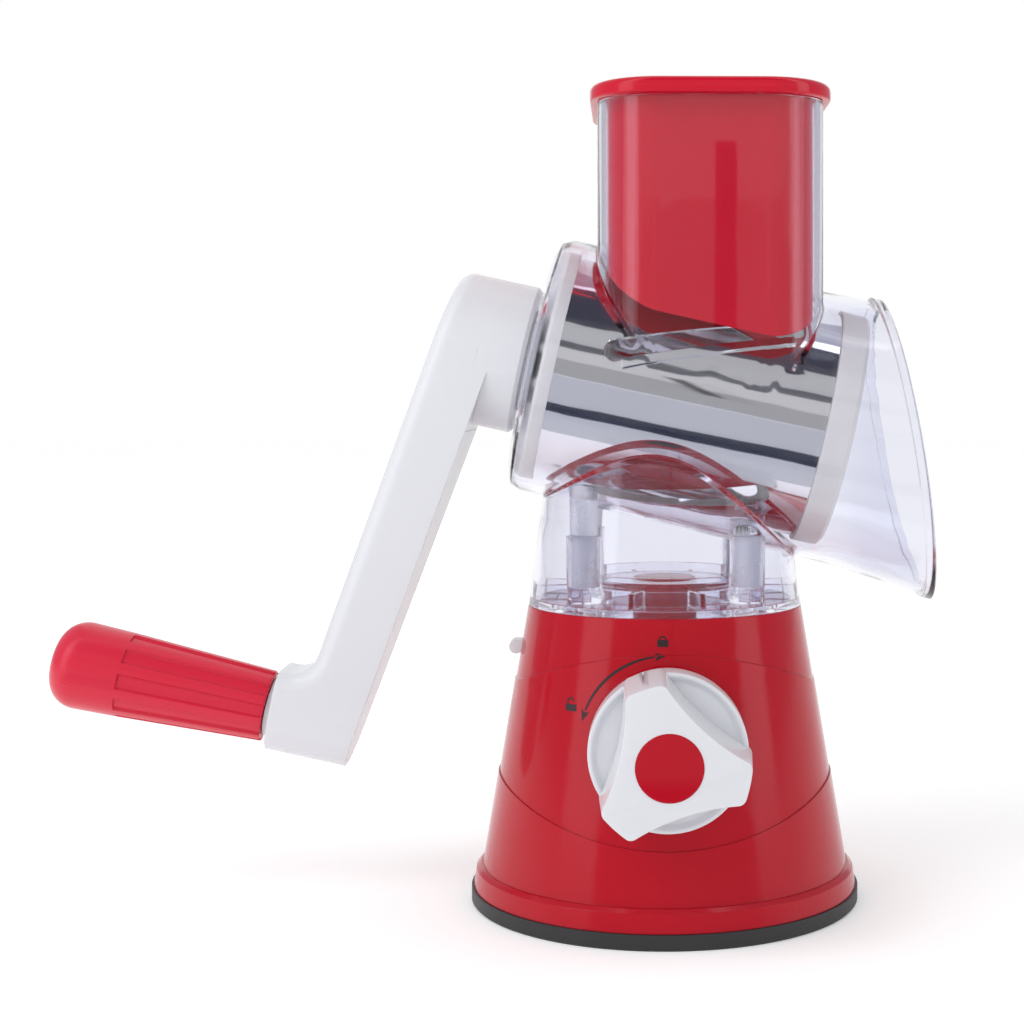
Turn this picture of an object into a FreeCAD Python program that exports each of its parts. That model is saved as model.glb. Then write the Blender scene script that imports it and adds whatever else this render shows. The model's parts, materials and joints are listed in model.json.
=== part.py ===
import FreeCAD, Part
import math
import os

# Rotary drum shredder on a suction foot. Millimetres, +Z up, +X toward the outlet, knob on the -Y side.
# The origin is the centre of the foot's resting face.
# Drum, barrel and crank are drawn along a level X axis and then tipped onto the drum axis.

# General clearances
running_gap = 0.05
fit_gap = 0.15
slide_gap = 0.3

# Suction cup
foot_radius = 64.0
foot_height = 5.0
foot_edge = 0.6
cup_seal_width = 12.0
cup_rise = 4.2
cup_skin = 2.6
cup_boss_radius = 12.5
cup_boss_height = 3.7
cup_lip_height = 2.0

# Base shell
base_height = 97.0
base_wall = 2.5
base_top_radius = 45.3
base_bottom_radius = 59.47
flange_height = 7.0
flange_inset = 0.7
flange_taper = 1.1
flange_edge = 1.2
skin_step = 0.4
upper_wave_front = 86.3
upper_wave_side = 72.6
lower_wave_front = 28.2
lower_wave_side = 42.7
deck_thickness = 2.2

# Bayonet spigot on the deck and the three lug pairs that lock the neck
spigot_radius = 24.0
spigot_height = 8.5
spigot_edge = 1.6
lug_count = 3
lug_span = 30.0
lug_reach = 2.7
lug_height = 2.6
bayonet_gap = 0.6

# Knob and its seat in the shell
knob_axis_height = 58.9
knob_radius = 24.3
knob_disc_thickness = 10.0
knob_body_depth = 22.0
knob_lobes = 3
knob_lobe_radius = 23.3
knob_lobe_width = 12.0
knob_waist_radius = 15.0
knob_pointer_angle = 107.7
knob_edge = 1.1
knob_skirt_edge = 0.5
knob_back_gap = 0.5
knob_dish_depth = 4.0
knob_rim_width = 1.6
knob_seat_inset = 0.55
knob_seat_thickness = 5.0
knob_pocket_gap = 0.7
knob_pocket_wall = 2.2
pointer_groove_width = 0.9
pointer_groove_depth = 0.5
knob_cap_radius = 10.1
knob_cap_thickness = 3.1
knob_cap_proud = 0.3
knob_cap_edge = 0.5
knob_screw_radius = 1.9
knob_screw_head_radius = 4.0
knob_screw_head_height = 2.8
knob_screw_length = 18.0

# Cam shaft and suction stem
cam_shaft_radius = 7.0
cam_square = 8.0
cam_square_length = 14.0
cam_throw = 5.0
cam_pin_radius = 3.2
cam_pin_length = 14.0
cam_web_radius = 9.0
cam_web_thickness = 2.0
cam_pin_angle = 164.0
cam_tail_radius = 4.0
cam_tail_length = 8.6
stem_radius = 6.0
stem_foot_radius = 9.0
stem_foot_thickness = 2.0
stem_neck_radius = 5.0
yoke_width = 26.0
yoke_depth = 10.0
yoke_height = 17.0
yoke_slot_width = 18.0

# Inner frame that guides the stem and carries the cam shaft's tail
frame_plate_thickness = 4.0
frame_hole_radius = 15.0
frame_tower_wall = 2.5
frame_tower_height = 13.0
frame_guide_radius = 10.0
frame_guide_height = 11.0
frame_post_width = 14.0
frame_post_thickness = 6.5
frame_post_gap = 1.5
frame_post_margin = 4.0
frame_rib_thickness = 3.0
frame_rib_reach = 15.0

# Screws that hold the inner frame
base_screw_count = 4
base_screw_inset = 4.0
base_screw_radius = 1.5
base_screw_head_radius = 3.2
base_screw_head_height = 2.0
base_screw_length = 13.0
screw_boss_radius = 4.0
screw_boss_height = 16.0

# Release latch
latch_thickness = 3.5
latch_width = 10.0
latch_inset = 3.3
latch_bar_length = 27.0
latch_travel = 4.0
latch_engagement = 2.4
latch_tab_height = 4.6
latch_tab_width = 6.0
latch_tab_drop = 11.8
latch_tab_reach = 4.4
latch_channel_wall = 2.0
latch_spring_length = 12.0
latch_spring_radius = 1.35
latch_spring_wire = 0.3

# Clear neck
neck_wall = 2.2
neck_draft = 0.1326
neck_seam = 0.2
neck_floor = 2.0
neck_ring_wall = 2.2
neck_ring_height = 10.8
neck_rib_count = 12
neck_rib_thickness = 1.4
neck_rib_height = 7.0
peg_x = 26.0
peg_y = 20.0
peg_radius = 4.4
peg_tip_radius = 3.5
peg_tip_length = 16.0
peg_shoulder_rise = 24.0
socket_wall = 1.9

# Drum axis
drum_axis_height = 167.6
drum_tilt = 12.5

# Drum
drum_radius = 37.5
drum_rear = -40.2
drum_length = 100.6
drum_sheet = 1.0
drum_ring_width = 9.0
drum_ring_lip = 1.4
drum_ring_thickness = 4.6
drum_ring_edge = 1.2
drum_cap_width = 4.4
drum_cap_thickness = 2.6
drum_cap_lip = 0.7
drum_cap_edge = 0.9
drum_socket_radius = 12.0
drum_socket_depth = 16.0
drum_slots = 4
drum_slot_length = 65.6
drum_slot_width = 7.0
drum_slot_slant = 21.9
drum_slot_middle = 8.6
drum_slot_angle = 31.0
blade_length = 56.0
blade_width = 2.6
blade_rise = 1.1

# Barrel and chute
barrel_gap = 3.3
barrel_wall = 2.4
barrel_draft = 0.0185
barrel_rear_gap = 2.2
barrel_rear_round = 5.0
barrel_collar_reach = 1.4
barrel_collar_wall = 4.0
chute_top_reach = 3.3
chute_bottom_reach = 39.9
chute_flare = 0.087
chute_bead_width = 3.0
chute_bead_rise = 1.1

# Hopper and pusher
hopper_middle = 14.3
hopper_width = 72.7
hopper_margin = 2.0
hopper_corner = 20.0
hopper_wall = 2.5
hopper_rise = 92.6
pusher_gap = 0.9
pusher_wall = 2.2
pusher_floor = 2.5
pusher_drum_gap = 2.5
pusher_curve_radius = 54.1
lid_overhang = 2.4
lid_thickness = 5.1
lid_edge = 1.5
lid_plug_depth = 3.0

# Crank
journal_radius = 17.0
crank_gap = 2.0
hub_radius = 24.6
hub_depth = 15.0
arm_reach = 130.6
arm_end_radius = 13.8
arm_offset = 9.7
arm_thickness = 20.4
arm_slant = 0.139
arm_edge_round = 5.0
arm_wall = 2.6
boss_reach = 8.3
boss_sweep = 8.0
hub_edge = 1.2
cover_thickness = 2.4
cover_inset = 1.6
shaft_spigot_radius = 9.0
shaft_spigot_length = 11.0
hex_across_flats = 14.0
hex_length = 15.0
hex_gap = 0.15
shaft_screw_radius = 2.4
shaft_screw_head_radius = 4.6
shaft_screw_head_height = 3.0
shaft_screw_bite = 8.0

# Grip
grip_length = 72.1
grip_collar_length = 2.1
grip_collar_radius = 9.5
grip_start_radius = 11.7
grip_end_radius = 14.7
grip_dome = 9.0
grip_dome_steps = 4
grip_flutes = 10
grip_flute_radius = 2.2
grip_flute_depth = 1.0
grip_flute_end = 24.0
spindle_radius = 4.0
spindle_seat = 16.0
spindle_length = 60.0
spindle_head_radius = 4.7
spindle_head_length = 3.0
grip_chamber_radius = 5.6
grip_chamber_gap = 0.6

# Places worked out from the sizes above
flange_top = foot_height + flange_height
deck_bottom = base_height - deck_thickness
skin_slope = (base_bottom_radius - base_top_radius) / (base_height - flange_top)
cavity_radius = base_bottom_radius - base_wall
plate_bottom = foot_height + cup_lip_height
plate_top = plate_bottom + frame_plate_thickness
reach = 3 * foot_radius
spigot_top = base_height + spigot_height
lug_bottom = base_height + neck_seam + lug_height + slide_gap
neck_bottom = base_height + neck_seam
neck_ring_radius = spigot_radius + lug_reach + slide_gap
peg_shoulder = base_height + peg_shoulder_rise
drum_front = drum_rear + drum_length
barrel_radius = drum_radius + barrel_gap + barrel_wall
barrel_rear = drum_rear - barrel_rear_gap - barrel_wall
journal_end = barrel_rear + barrel_wall + barrel_collar_reach
chute_top = drum_front + chute_top_reach
chute_bottom = drum_front + chute_bottom_reach
hopper_half_width = hopper_width / 2
hopper_half_depth = drum_radius + hopper_margin + hopper_wall
hopper_top = drum_axis_height + hopper_rise
hub_face = barrel_rear - crank_gap
boss_face = hub_face - arm_offset - arm_thickness - arm_slant * arm_reach - boss_reach
grip_face = boss_face - grip_collar_length - slide_gap
hexagon_end = drum_rear + hex_length
latch_x = -(base_top_radius - base_wall - latch_inset - latch_thickness / 2)
latch_top = base_height + latch_engagement
latch_bottom = latch_top - latch_bar_length
latch_tab_top = base_height - latch_tab_drop


def vec(x, y, z):
    return FreeCAD.Vector(x, y, z)


X_AXIS, Y_AXIS, Z_AXIS = vec(1, 0, 0), vec(0, 1, 0), vec(0, 0, 1)


def cyl_x(radius, x0, x1, y=0, z=0):
    return Part.makeCylinder(radius, x1 - x0, vec(x0, y, z), X_AXIS)


def cyl_y(radius, y0, y1, x=0, z=0):
    return Part.makeCylinder(radius, y1 - y0, vec(x, y0, z), Y_AXIS)


def cyl_z(radius, z0, z1, x=0, y=0):
    return Part.makeCylinder(radius, z1 - z0, vec(x, y, z0), Z_AXIS)


def block(x0, x1, y0, y1, z0, z1):
    return Part.makeBox(x1 - x0, y1 - y0, z1 - z0, vec(x0, y0, z0))


def revolved(points, axis, to_vector, angle=360):
    """A turned solid: points are (along or out, up) pairs that to_vector puts into the plane of the axis."""
    wire = Part.makePolygon([to_vector(*p) for p in points + points[:1]])
    return Part.Face(wire).revolve(vec(0, 0, 0), axis, angle)


def turned_z(points):
    return revolved(points, Z_AXIS, lambda r, z: vec(r, 0, z))


def turned_x(points):
    return revolved(points, X_AXIS, lambda s, r: vec(s, 0, r))


def ring_sector(inner, outer, z0, z1, middle, span):
    """Part of a ring between two radii, centred on an angle about Z."""
    sector = revolved(
        [(inner, z0), (outer, z0), (outer, z1), (inner, z1)],
        Z_AXIS,
        lambda r, z: vec(r, 0, z),
        span,
    )
    sector.rotate(vec(0, 0, 0), Z_AXIS, middle - span / 2)
    return sector


def extruded_y(edges, half_depth):
    """A prism from edges drawn in the XZ plane, centred on Y = 0."""
    prism = Part.Face(Part.Wire(edges)).extrude(vec(0, 2 * half_depth, 0))
    prism.translate(vec(0, -half_depth, 0))
    return prism


def line(a, b):
    return Part.LineSegment(a, b).toShape()


def arc(a, middle, b):
    return Part.Arc(a, middle, b).toShape()


def rounded_prism(middle_x, half_x, half_y, corner, z0, z1):
    """An upright prism with a rounded rectangular outline."""
    edges = []
    swing = corner * math.sqrt(0.5)
    for sx, sy, turn in ((1, 1, 1), (-1, 1, -1), (-1, -1, 1), (1, -1, -1)):
        cx, cy = middle_x + sx * (half_x - corner), sy * (half_y - corner)
        on_x = vec(cx + sx * corner, cy, z0)
        on_y = vec(cx, cy + sy * corner, z0)
        ends = (on_x, on_y) if turn > 0 else (on_y, on_x)
        edges.append(arc(ends[0], vec(cx + sx * swing, cy + sy * swing, z0), ends[1]))
    sides = []
    for i, edge in enumerate(edges):
        following = edges[(i + 1) % len(edges)]
        sides.append(edge)
        sides.append(line(edge.lastVertex().Point, following.firstVertex().Point))
    return Part.Face(Part.Wire(Part.__sortEdges__(sides))).extrude(vec(0, 0, z1 - z0))


def fused(shape, *others):
    """One solid of all the shapes, with split faces joined again."""
    return shape.multiFuse(list(others)).removeSplitter()


def on_drum_axis(shape):
    """Tips a shape drawn along the level X axis onto the drum axis."""
    placed = shape.copy()
    placed.rotate(vec(0, 0, 0), Y_AXIS, drum_tilt)
    placed.translate(vec(0, 0, drum_axis_height))
    return placed


def save(name, shape):
    shape.exportStep("parts/" + name + ".step")


def circle_edges(shape, radius, along, place, tolerance=0.01):
    """Full or part circles of one radius whose centre lies at a place along an axis."""
    found = []
    for edge in shape.Edges:
        if isinstance(edge.Curve, Part.Circle) and abs(edge.Curve.Radius - radius) < tolerance:
            if abs(edge.Curve.Center.dot(along) - place) < tolerance:
                found.append(edge)
    return found


def skin_radius(z, extra=0.0):
    """Radius of the base's skin at a height."""
    return base_bottom_radius - (z - flange_top) * skin_slope + extra


def skin_cone(extra, z0, z1):
    return Part.makeCone(skin_radius(z0, extra), skin_radius(z1, extra), z1 - z0, vec(0, 0, z0), Z_AXIS)


def wave_cylinder(front, side, extra):
    """A level cylinder along Y whose surface meets the skin at one height in front and another at the sides."""
    half_chord = skin_radius(side, extra)
    rise = abs(front - side)
    radius = (half_chord**2 + rise**2) / (2 * rise)
    middle = front - math.copysign(radius, front - side)
    return cyl_y(radius, -reach, reach, 0, middle)


def base_outside():
    """The base's outer form: a cone in three nested skins that meet in wavy steps, on a flange."""
    skin = skin_cone(0, flange_top, base_height)
    middle_skin = skin_cone(skin_step, flange_top, base_height)
    middle_skin = middle_skin.common(wave_cylinder(upper_wave_front, upper_wave_side, skin_step))
    lower_skin = skin_cone(2 * skin_step, flange_top, base_height)
    lower_skin = lower_skin.cut(wave_cylinder(lower_wave_front, lower_wave_side, 2 * skin_step))
    flange_radius = foot_radius - flange_inset
    top_radius = flange_radius - flange_taper
    flange = Part.makeCone(flange_radius, top_radius, flange_height, vec(0, 0, foot_height), Z_AXIS)
    flange = flange.makeChamfer(flange_edge, circle_edges(flange, top_radius, Z_AXIS, flange_top))
    return fused(skin, middle_skin, lower_skin, flange)


def base_cavity():
    lower = cyl_z(cavity_radius, foot_height, flange_top)
    upper = skin_cone(-base_wall, flange_top, deck_bottom)
    return lower.fuse(upper)


def knob_seat_y():
    """Where the knob's back runs, just inside the skin at the knob's height."""
    return -(skin_radius(knob_axis_height, skin_step) - knob_seat_inset)


def latch_channel(outside):
    """The upright channel in the shell that guides the latch and seats its spring."""
    half_x = latch_thickness / 2 + slide_gap
    half_y = latch_width / 2 + slide_gap
    floor = latch_bottom - latch_spring_length
    wall = latch_channel_wall
    inner_x = latch_x + half_x + wall
    body = block(latch_x - half_x - wall, inner_x, -half_y - wall, half_y + wall, floor - wall, base_height)
    ribs = [
        block(-reach, latch_x, side - wall / 2, side + wall / 2, floor - wall, base_height)
        for side in (-half_y - wall / 2, half_y + wall / 2)
    ]
    channel = body.multiFuse(ribs).common(outside)
    cavity = block(latch_x - half_x, latch_x + half_x, -half_y, half_y, floor, base_height + lug_height)
    return channel, cavity


def latch_slot():
    """The window that the latch's thumb tab travels in."""
    half = latch_tab_width / 2 + slide_gap
    low = latch_tab_top - latch_tab_height - latch_travel - slide_gap
    return block(-reach, latch_x, -half, half, low, latch_tab_top + slide_gap)


def screw_places():
    """Where the inner frame's screws stand, on a circle just inside the shell."""
    radius = cavity_radius - base_screw_inset
    return [
        (radius * math.cos(math.radians(a)), radius * math.sin(math.radians(a)))
        for a in (45 + i * 360 / base_screw_count for i in range(base_screw_count))
    ]


def make_base_shell():
    outside = base_outside()
    seat_y = knob_seat_y()
    pocket_radius = knob_radius + knob_pocket_gap
    back_y = seat_y + knob_seat_thickness
    collar = cyl_y(pocket_radius + knob_pocket_wall, -reach, back_y, 0, knob_axis_height).common(outside)
    seat = cyl_y(knob_radius, seat_y, back_y, 0, knob_axis_height)
    channel, channel_cavity = latch_channel(outside)
    bosses = [
        cyl_z(screw_boss_radius, plate_top, plate_top + screw_boss_height, x, y).common(outside)
        for x, y in screw_places()
    ]
    spigot = cyl_z(spigot_radius, deck_bottom, spigot_top)
    spigot = spigot.makeChamfer(spigot_edge, circle_edges(spigot, spigot_radius, Z_AXIS, spigot_top))
    shell = outside.cut(base_cavity())
    shell = fused(shell, collar, seat, channel, spigot, *bosses)
    shell = shell.cut(cyl_y(pocket_radius, -reach, seat_y, 0, knob_axis_height))
    shell = shell.cut(cyl_y(cam_shaft_radius + running_gap, seat_y - 1, back_y + 1, 0, knob_axis_height))
    hollow = cyl_z(spigot_radius - base_wall, deck_bottom - 1, spigot_top - base_wall)
    shell = shell.cut(hollow).cut(channel_cavity).cut(latch_slot())
    for x, y in screw_places():
        hole_top = plate_bottom + base_screw_length + 2
        shell = shell.cut(cyl_z(base_screw_radius + fit_gap, plate_top - 1, hole_top, x, y))
    pitch = 360 / lug_count
    lugs = [
        ring_sector(spigot_radius - 1, spigot_radius + lug_reach, lug_bottom, lug_bottom + lug_height,
                    90 + i * pitch, lug_span)
        for i in range(lug_count)
    ]
    return fused(shell, *lugs)


def make_suction_cup():
    """A rubber cup drawn up in the middle, with a sealing rim and a boss moulded round the stem's foot."""
    inner = foot_radius - cup_seal_width
    lip = cavity_radius - slide_gap
    lip_inner = lip - 3.5
    foot_low = cup_rise + cup_skin - slide_gap
    foot_high = foot_low + stem_foot_thickness + 2 * fit_gap
    boss_top = cup_rise + cup_skin + cup_boss_height
    crown = cup_boss_radius + 5.5
    return turned_z([
        (0, cup_rise),
        (crown, cup_rise),
        (inner - 2, foot_edge),
        (inner, 0),
        (foot_radius - foot_edge, 0),
        (foot_radius, foot_edge),
        (foot_radius, foot_height),
        (lip, foot_height),
        (lip, plate_bottom),
        (lip_inner, plate_bottom),
        (inner - 1.5, foot_edge + cup_skin),
        (crown, cup_rise + cup_skin),
        (cup_boss_radius, cup_rise + cup_skin),
        (cup_boss_radius, boss_top),
        (stem_neck_radius + fit_gap, boss_top),
        (stem_neck_radius + fit_gap, foot_high),
        (stem_foot_radius + fit_gap, foot_high),
        (stem_foot_radius + fit_gap, foot_low),
        (0, foot_low),
    ])


def cam_pin_rise(angle):
    return cam_throw * math.sin(math.radians(angle))


def make_suction_stem():
    """The stem: a foot held in the rubber, a guided rod and a yoke with the slot that the cam pin lifts."""
    foot_low = cup_rise + cup_skin - slide_gap + fit_gap
    foot = cyl_z(stem_foot_radius, foot_low, foot_low + stem_foot_thickness)
    boss_top = cup_rise + cup_skin + cup_boss_height
    neck = cyl_z(stem_neck_radius, foot_low, boss_top + 2)
    slot_z = knob_axis_height + cam_pin_rise(cam_pin_angle)
    yoke_low, yoke_high = slot_z - yoke_height / 2, slot_z + yoke_height / 2
    rod = cyl_z(stem_radius, boss_top + 1, yoke_low + 1)
    half = yoke_width / 2
    yoke = block(-half, half, -yoke_depth / 2, yoke_depth / 2, yoke_low, yoke_high)
    stem = fused(foot, neck, rod, yoke)
    slot_half = cam_pin_radius + slide_gap
    straight = (yoke_slot_width - 2 * slot_half) / 2
    for x in (-straight, straight):
        stem = stem.cut(cyl_y(slot_half, -yoke_depth, yoke_depth, x, slot_z))
    middle = block(-straight, straight, -yoke_depth, yoke_depth, slot_z - slot_half, slot_z + slot_half)
    return stem.cut(middle)


def make_cam_shaft():
    """The shaft behind the knob, with an eccentric pin between two webs and a tail in the inner frame."""
    z = knob_axis_height
    knob_back = knob_seat_y() - knob_back_gap
    pin_half = cam_pin_length / 2
    web = cam_web_thickness
    journal = cyl_y(cam_shaft_radius, knob_back, -pin_half, 0, z)
    front_web = cyl_y(cam_web_radius, -pin_half - web, -pin_half, 0, z)
    rear_web = cyl_y(cam_web_radius, pin_half, pin_half + web, 0, z)
    angle = math.radians(cam_pin_angle)
    pin_x, pin_z = cam_throw * math.cos(angle), cam_throw * math.sin(angle)
    pin = cyl_y(cam_pin_radius, -pin_half, pin_half, pin_x, z + pin_z)
    tail = cyl_y(cam_tail_radius, pin_half, pin_half + web + cam_tail_length, 0, z)
    half = cam_square / 2
    square = block(-half, half, knob_back - cam_square_length, knob_back, z - half, z + half)
    shaft = fused(journal, front_web, pin, rear_web, tail, square)
    hole_end = knob_screw_seat_y() + knob_screw_length + 1
    return shaft.cut(cyl_y(knob_screw_radius + fit_gap, -reach, hole_end, 0, z))


def knob_front_y():
    return knob_seat_y() - knob_back_gap - knob_disc_thickness - knob_body_depth


def knob_screw_seat_y():
    """The face inside the knob that the screw's head rests on."""
    return knob_front_y() + knob_cap_thickness + knob_screw_head_height + 2


def lobe_outline(y):
    """Three broad tips joined by hollow arcs, drawn in an upright plane facing the user."""
    edges = []
    pitch = 360 / knob_lobes
    half_tip = math.degrees(math.asin(knob_lobe_width / 2 / knob_lobe_radius))

    def at(radius, angle):
        a = math.radians(angle)
        return vec(radius * math.cos(a), y, knob_axis_height + radius * math.sin(a))

    for i in range(knob_lobes):
        middle = knob_pointer_angle + i * pitch
        tip_start = at(knob_lobe_radius, middle - half_tip)
        tip_end = at(knob_lobe_radius, middle + half_tip)
        following = at(knob_lobe_radius, middle + pitch - half_tip)
        edges.append(arc(tip_start, at(knob_lobe_radius, middle), tip_end))
        edges.append(arc(tip_end, at(knob_waist_radius, middle + pitch / 2), following))
    return Part.Wire(edges)


def make_suction_knob():
    """A round skirt with a dished front and a three-lobed handle standing out of it."""
    z = knob_axis_height
    back = knob_seat_y() - knob_back_gap
    disc_front = back - knob_disc_thickness
    front = knob_front_y()
    skirt = cyl_y(knob_radius, disc_front, back, 0, z)
    skirt = skirt.makeChamfer(knob_skirt_edge, circle_edges(skirt, knob_radius, Y_AXIS, disc_front))
    dish_radius = knob_radius - knob_rim_width
    dish = Part.makeCone(
        dish_radius, dish_radius - 2 * knob_dish_depth, knob_dish_depth, vec(0, disc_front, z), Y_AXIS
    )
    handle = Part.Face(lobe_outline(front)).extrude(vec(0, back - front - 1, 0))
    rim = [e for e in handle.Edges if all(abs(v.Y - front) < 0.01 for v in e.Vertexes)]
    handle = handle.makeChamfer(knob_edge, rim)
    knob = fused(skirt.cut(dish), handle)
    square = cam_square / 2 + fit_gap
    depth = cam_square_length + 0.5
    knob = knob.cut(block(-square, square, back - depth, back + 1, z - square, z + square))
    knob = knob.cut(cyl_y(knob_screw_radius + fit_gap, front - 1, back, 0, z))
    knob = knob.cut(cyl_y(knob_screw_head_radius + slide_gap, front - 1, knob_screw_seat_y(), 0, z))
    knob = knob.cut(cyl_y(knob_cap_radius + fit_gap, front - 1, front + knob_cap_thickness, 0, z))
    groove = block(-pointer_groove_width / 2, pointer_groove_width / 2, front - 1, disc_front + 1,
                   knob_lobe_radius - pointer_groove_depth, knob_lobe_radius + 1)
    groove.rotate(vec(0, 0, 0), Y_AXIS, 90 - knob_pointer_angle)
    groove.translate(vec(0, 0, z))
    return knob.cut(groove)


def make_knob_cap():
    front = knob_front_y()
    face = front - knob_cap_proud
    cap = cyl_y(knob_cap_radius, face, front + knob_cap_thickness, 0, knob_axis_height)
    return cap.makeChamfer(knob_cap_edge, circle_edges(cap, knob_cap_radius, Y_AXIS, face))


def make_knob_screw():
    seat = knob_screw_seat_y()
    head = cyl_y(knob_screw_head_radius, seat - knob_screw_head_height, seat, 0, knob_axis_height)
    shank = cyl_y(knob_screw_radius, seat, seat + knob_screw_length, 0, knob_axis_height)
    return fused(head, shank)


def make_inner_frame():
    """The plate that closes the shell, with the stem's guide and the post that carries the cam shaft's tail."""
    radius = cavity_radius - slide_gap
    plate = cyl_z(radius, plate_bottom, plate_top)
    tower_top = plate_top + frame_tower_height
    tower = cyl_z(frame_hole_radius + frame_tower_wall, plate_bottom, tower_top)
    guide_top = tower_top + frame_guide_height
    guide = cyl_z(frame_guide_radius, tower_top - 1, guide_top)
    post_y = cam_pin_length / 2 + cam_web_thickness + frame_post_gap
    half = frame_post_width / 2
    post_top = knob_axis_height + cam_tail_radius + frame_post_margin
    post = block(-half, half, post_y, post_y + frame_post_thickness, plate_bottom, post_top)
    rib_y = post_y + frame_post_thickness
    rib_points = [vec(0, rib_y - 1, plate_bottom), vec(0, rib_y + frame_rib_reach, plate_bottom),
                  vec(0, rib_y + frame_rib_reach, plate_top), vec(0, rib_y - 1, knob_axis_height)]
    rib = Part.Face(Part.makePolygon(rib_points + rib_points[:1])).extrude(vec(frame_rib_thickness, 0, 0))
    rib.translate(vec(-frame_rib_thickness / 2, 0, 0))
    frame = fused(plate, tower, guide, post, rib)
    frame = frame.cut(cyl_z(frame_hole_radius, plate_bottom - 1, tower_top - frame_tower_wall))
    frame = frame.cut(cyl_z(stem_radius + running_gap, plate_bottom, guide_top + 1))
    frame = frame.cut(
        cyl_y(cam_tail_radius + running_gap, post_y - 1, rib_y - 1 + frame_rib_reach, 0, knob_axis_height)
    )
    for x, y in screw_places():
        frame = frame.cut(cyl_z(base_screw_radius + fit_gap, plate_bottom - 1, plate_top + 1, x, y))
        head_top = plate_bottom + base_screw_head_height + fit_gap
        frame = frame.cut(cyl_z(base_screw_head_radius + slide_gap, plate_bottom - 1, head_top, x, y))
    return frame


def make_base_screws():
    screws = []
    for x, y in screw_places():
        head_top = plate_bottom + base_screw_head_height
        head = cyl_z(base_screw_head_radius, plate_bottom + fit_gap, head_top, x, y)
        shank = cyl_z(base_screw_radius, head_top - 1, plate_bottom + base_screw_length, x, y)
        screws.append(fused(head, shank))
    return Part.makeCompound(screws)


def make_release_latch():
    """A sliding bar whose top locks the neck, with a hooked thumb tab that stands out of the shell."""
    half_x, half_y = latch_thickness / 2, latch_width / 2
    bar = block(latch_x - half_x, latch_x + half_x, -half_y, half_y, latch_bottom, latch_top)
    outer = -(skin_radius(latch_tab_top) + latch_tab_reach)
    half_tab = latch_tab_width / 2
    low = latch_tab_top - latch_tab_height
    arm = block(outer + 1.5, latch_x, -half_tab, half_tab, low + 1.6, latch_tab_top)
    tip = cyl_y(latch_tab_height / 2, -half_tab, half_tab, outer + latch_tab_height / 2,
                low + latch_tab_height / 2)
    return fused(bar, arm, tip)


def make_latch_spring():
    """The closed form of the small coil spring under the latch: a sleeve of the coil's size."""
    low = latch_bottom - latch_spring_length + running_gap
    high = latch_bottom - running_gap
    outer = latch_spring_radius + latch_spring_wire
    sleeve = cyl_z(outer, low, high, latch_x)
    return sleeve.cut(cyl_z(outer - 2 * latch_spring_wire, low - 1, high + 1, latch_x))


def barrel_form(extra, corner=0.0):
    """The solid form of the barrel and chute along the level axis, grown or shrunk by an amount."""
    rear = barrel_rear - extra
    bow = corner * (1 - math.sqrt(0.5))
    end = chute_bottom + barrel_wall + 3

    def radius(s):
        straight = barrel_radius + barrel_draft * s
        return straight + max(0, s - chute_top) * (chute_flare - barrel_draft) + extra

    return turned_x([
        (rear, 0),
        (rear, radius(rear) - corner),
        *([(rear + bow, radius(rear) - bow), (rear + corner, radius(rear + corner))] if corner else []),
        (chute_top, radius(chute_top)),
        (end, radius(end)),
        (end, 0),
    ])


def barrel_end_radius(s):
    return barrel_radius + barrel_draft * chute_top + (s - chute_top) * chute_flare


def beyond_chute(offset):
    """Everything past the slanted plane that cuts the chute, with the plane moved back by an offset."""
    top = vec(chute_top - offset, 0, barrel_end_radius(chute_top))
    low = vec(chute_bottom - offset, 0, -barrel_end_radius(chute_bottom))
    along = low - top
    start, end = top - along, low + along
    far = vec(reach, 0, 0)
    return extruded_y([line(start, end), line(end, end + far), line(end + far, start + far),
                       line(start + far, start)], reach)


def below_axis():
    """Everything under the drum axis, on the level axis."""
    return block(-reach, reach, -reach, reach, -reach, 0)


def hopper_form(half_shrink, top):
    """The upright hopper, shrunk by an amount, down to the plane of the drum axis."""
    form = rounded_prism(
        hopper_middle,
        hopper_half_width - half_shrink,
        hopper_half_depth - half_shrink,
        hopper_corner - half_shrink,
        drum_axis_height - barrel_radius,
        top,
    )
    return form.cut(on_drum_axis(below_axis()))


def peg_places():
    return [(sx * peg_x, sy * peg_y) for sx in (-1, 1) for sy in (-1, 1)]


def make_barrel_housing():
    """Barrel, hopper and slanted chute in one clear moulding, with four pegs under it."""
    outer = barrel_form(0, barrel_rear_round)
    bead = barrel_form(chute_bead_rise).common(beyond_chute(chute_bead_width))
    outer = outer.fuse(bead).cut(beyond_chute(0))
    inner = barrel_form(-barrel_wall)
    collar = cyl_x(journal_radius + barrel_collar_wall, barrel_rear + 1, journal_end)
    inner = inner.cut(collar)
    bore = cyl_x(journal_radius + running_gap, barrel_rear - 1, journal_end + 1)
    outer, inner, bore = on_drum_axis(outer), on_drum_axis(inner), on_drum_axis(bore)
    pegs = []
    for x, y in peg_places():
        pegs.append(cyl_z(peg_radius, peg_shoulder, drum_axis_height, x, y))
        pegs.append(cyl_z(peg_tip_radius, peg_shoulder - peg_tip_length, peg_shoulder + 1, x, y))
    solid = fused(outer, hopper_form(0, hopper_top), *pegs)
    solid = solid.cut(inner.fuse(hopper_form(hopper_wall, hopper_top + 1)))
    return solid.cut(bore)


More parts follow.
